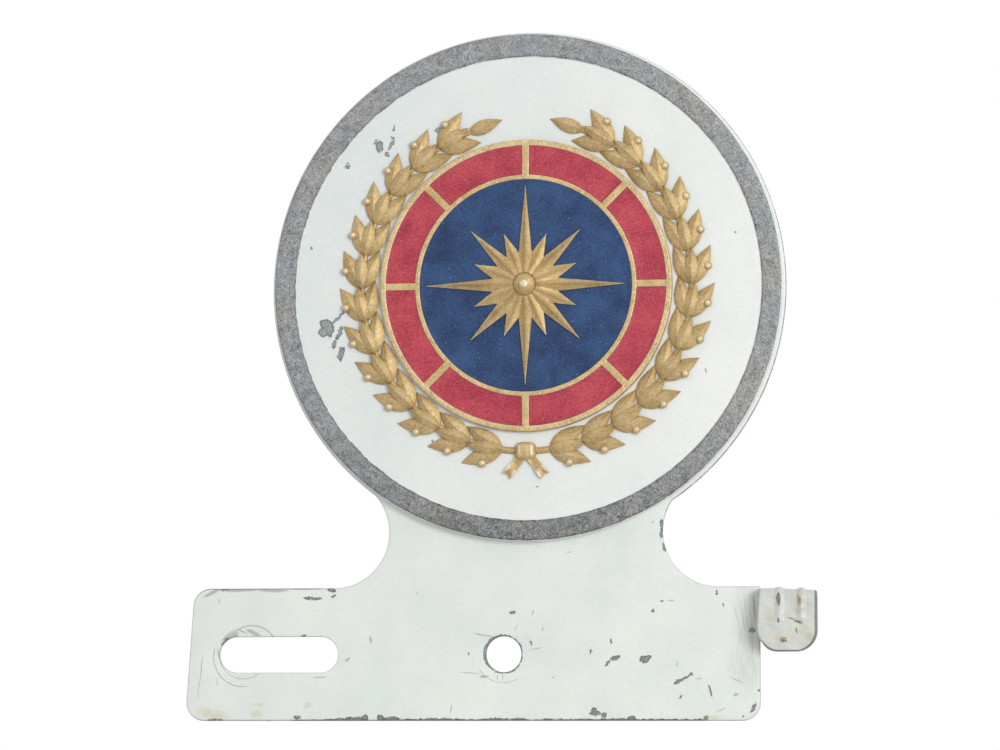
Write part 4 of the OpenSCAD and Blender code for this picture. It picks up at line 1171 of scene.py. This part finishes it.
stud = studGrid(f)
threads = np.clip((f.studR - np.linalg.norm(stud[..., :2], axis=-1)) / f.threadDeep, 0, 1)
washer = lathe(ringProfile(f.washerR, washerZ, f.washerT, [0.15, 0.3, 0.15], f), smallSteps)
makePiece("medallion_studs_threaded", atStuds(stud, caps=True), plated, ["medallion_studs"],
          field=np.tile(np.append(threads, [0, 0]), 2))
makePiece("flat_washers_rolled", atStuds(washer, wrapRows=True), plated, ["flat_washers"])
makePiece("lock_washers_sprung", atStuds(lockGrid(f), caps=True), plated, ["lock_washers"])
makePiece("stud_nuts_hexagon", atStuds(nutGrid(f), wrapRows=True), plated, ["stud_nuts"],
          sharpAngle=28)
print("fixings done")


# Floor, light and camera
def floorMaterial(name):
    # Matt pale board: it shows only from above, so the low camera looks past its near part
    material, put, place = newMaterial(name)
    mottle = put("TexNoise", {"Vector": place, "Scale": perMm(30)})
    tone = put("Mix", {0: mottle, 6: "#F1F1F0", 7: "#F6F6F5"}, **blend)
    board = put("BsdfDiffuse", {"Color": tone, "Roughness": 0.5})
    below = put("NewGeometry", out=6)
    shader = put("MixShader", {0: below, 1: board, 2: put("BsdfTransparent")})
    put("OutputMaterial", {0: shader})
    return material


stageSizes = {
    "floorReach": 1500, "ambient": 0.66, "keyPower": 16.2, "keyAway": 1800, "keySize": 700,
    "keyAim": (20, 0, 50), "keyToward": (0.54, -0.83, 0.14),
}
g = SimpleNamespace(**stageSizes)
floorLevel = cadBox[0].z
reach = g.floorReach * mm
floorMesh = bpy.data.meshes.new("floor")
floorMesh.from_pydata([(x * reach, y * reach, floorLevel) for x, y in ((-1, -1), (1, -1), (1, 1), (-1, 1))],
                      [], [(0, 1, 2, 3)])
floorMesh.materials.append(floorMaterial("paleBoard"))
floor = newObject("floor", floorMesh)

world = bpy.data.worlds.new("studio")
bpy.context.scene.world = world
world.use_nodes = True
world.node_tree.nodes.clear()
put = partial(add, world.node_tree)
rays = world.node_tree.nodes.new("ShaderNodeLightPath")
seen = rays.outputs["Is Camera Ray"]
for ray in ("Is Glossy Ray", "Is Transmission Ray"):
    seen = put("Math", {0: seen, 1: rays.outputs[ray]}, "MAXIMUM")
strength = put("MapRange", {"Value": seen, "To Min": g.ambient})
put("OutputWorld", {0: put("Background", {"Color": (1, 1, 1, 1), "Strength": strength})})

lamp = bpy.data.lights.new("key", "AREA")
lamp.energy = g.keyPower
lamp.size = g.keySize * mm
key = newObject("key", lamp)
toward = Vector(g.keyToward).normalized()
key.location = Vector(g.keyAim) * mm + toward * g.keyAway * mm
key.rotation_euler = toward.to_track_quat("Z", "Y").to_euler()

# The camera stands a little to the right of the badge's axis and a little below it
cameraSizes = {
    "yaw": 7.44, "pitch": 5.81, "roll": 0.054, "away": 741.6, "focusPx": 3724.6, "imagePx": 1000,
    "sensor": 36, "target": (-0.746, 0, 55.451),
}
c = SimpleNamespace(**cameraSizes)
yaw, pitch, roll = np.radians([c.yaw, c.pitch, c.roll])
back = Vector((sin(yaw) * cos(pitch), -cos(yaw) * cos(pitch), -sin(pitch)))
right = Vector((0, 0, 1)).cross(back).normalized()
up = back.cross(right)
across = right * cos(roll) + up * sin(roll)
upward = up * cos(roll) - right * sin(roll)
lens = bpy.data.cameras.new("camera")
lens.sensor_width = c.sensor
lens.lens = c.focusPx / c.imagePx * c.sensor
lens.clip_start = 0.01
camera = newObject("camera", lens)
turned = Matrix((across, upward, back)).transposed().to_4x4()
camera.matrix_world = Matrix.Translation((Vector(c.target) + back * c.away) * mm) @ turned
bpy.context.scene.camera = camera
bpy.context.scene.view_settings.view_transform = "Standard"

print("stage done")
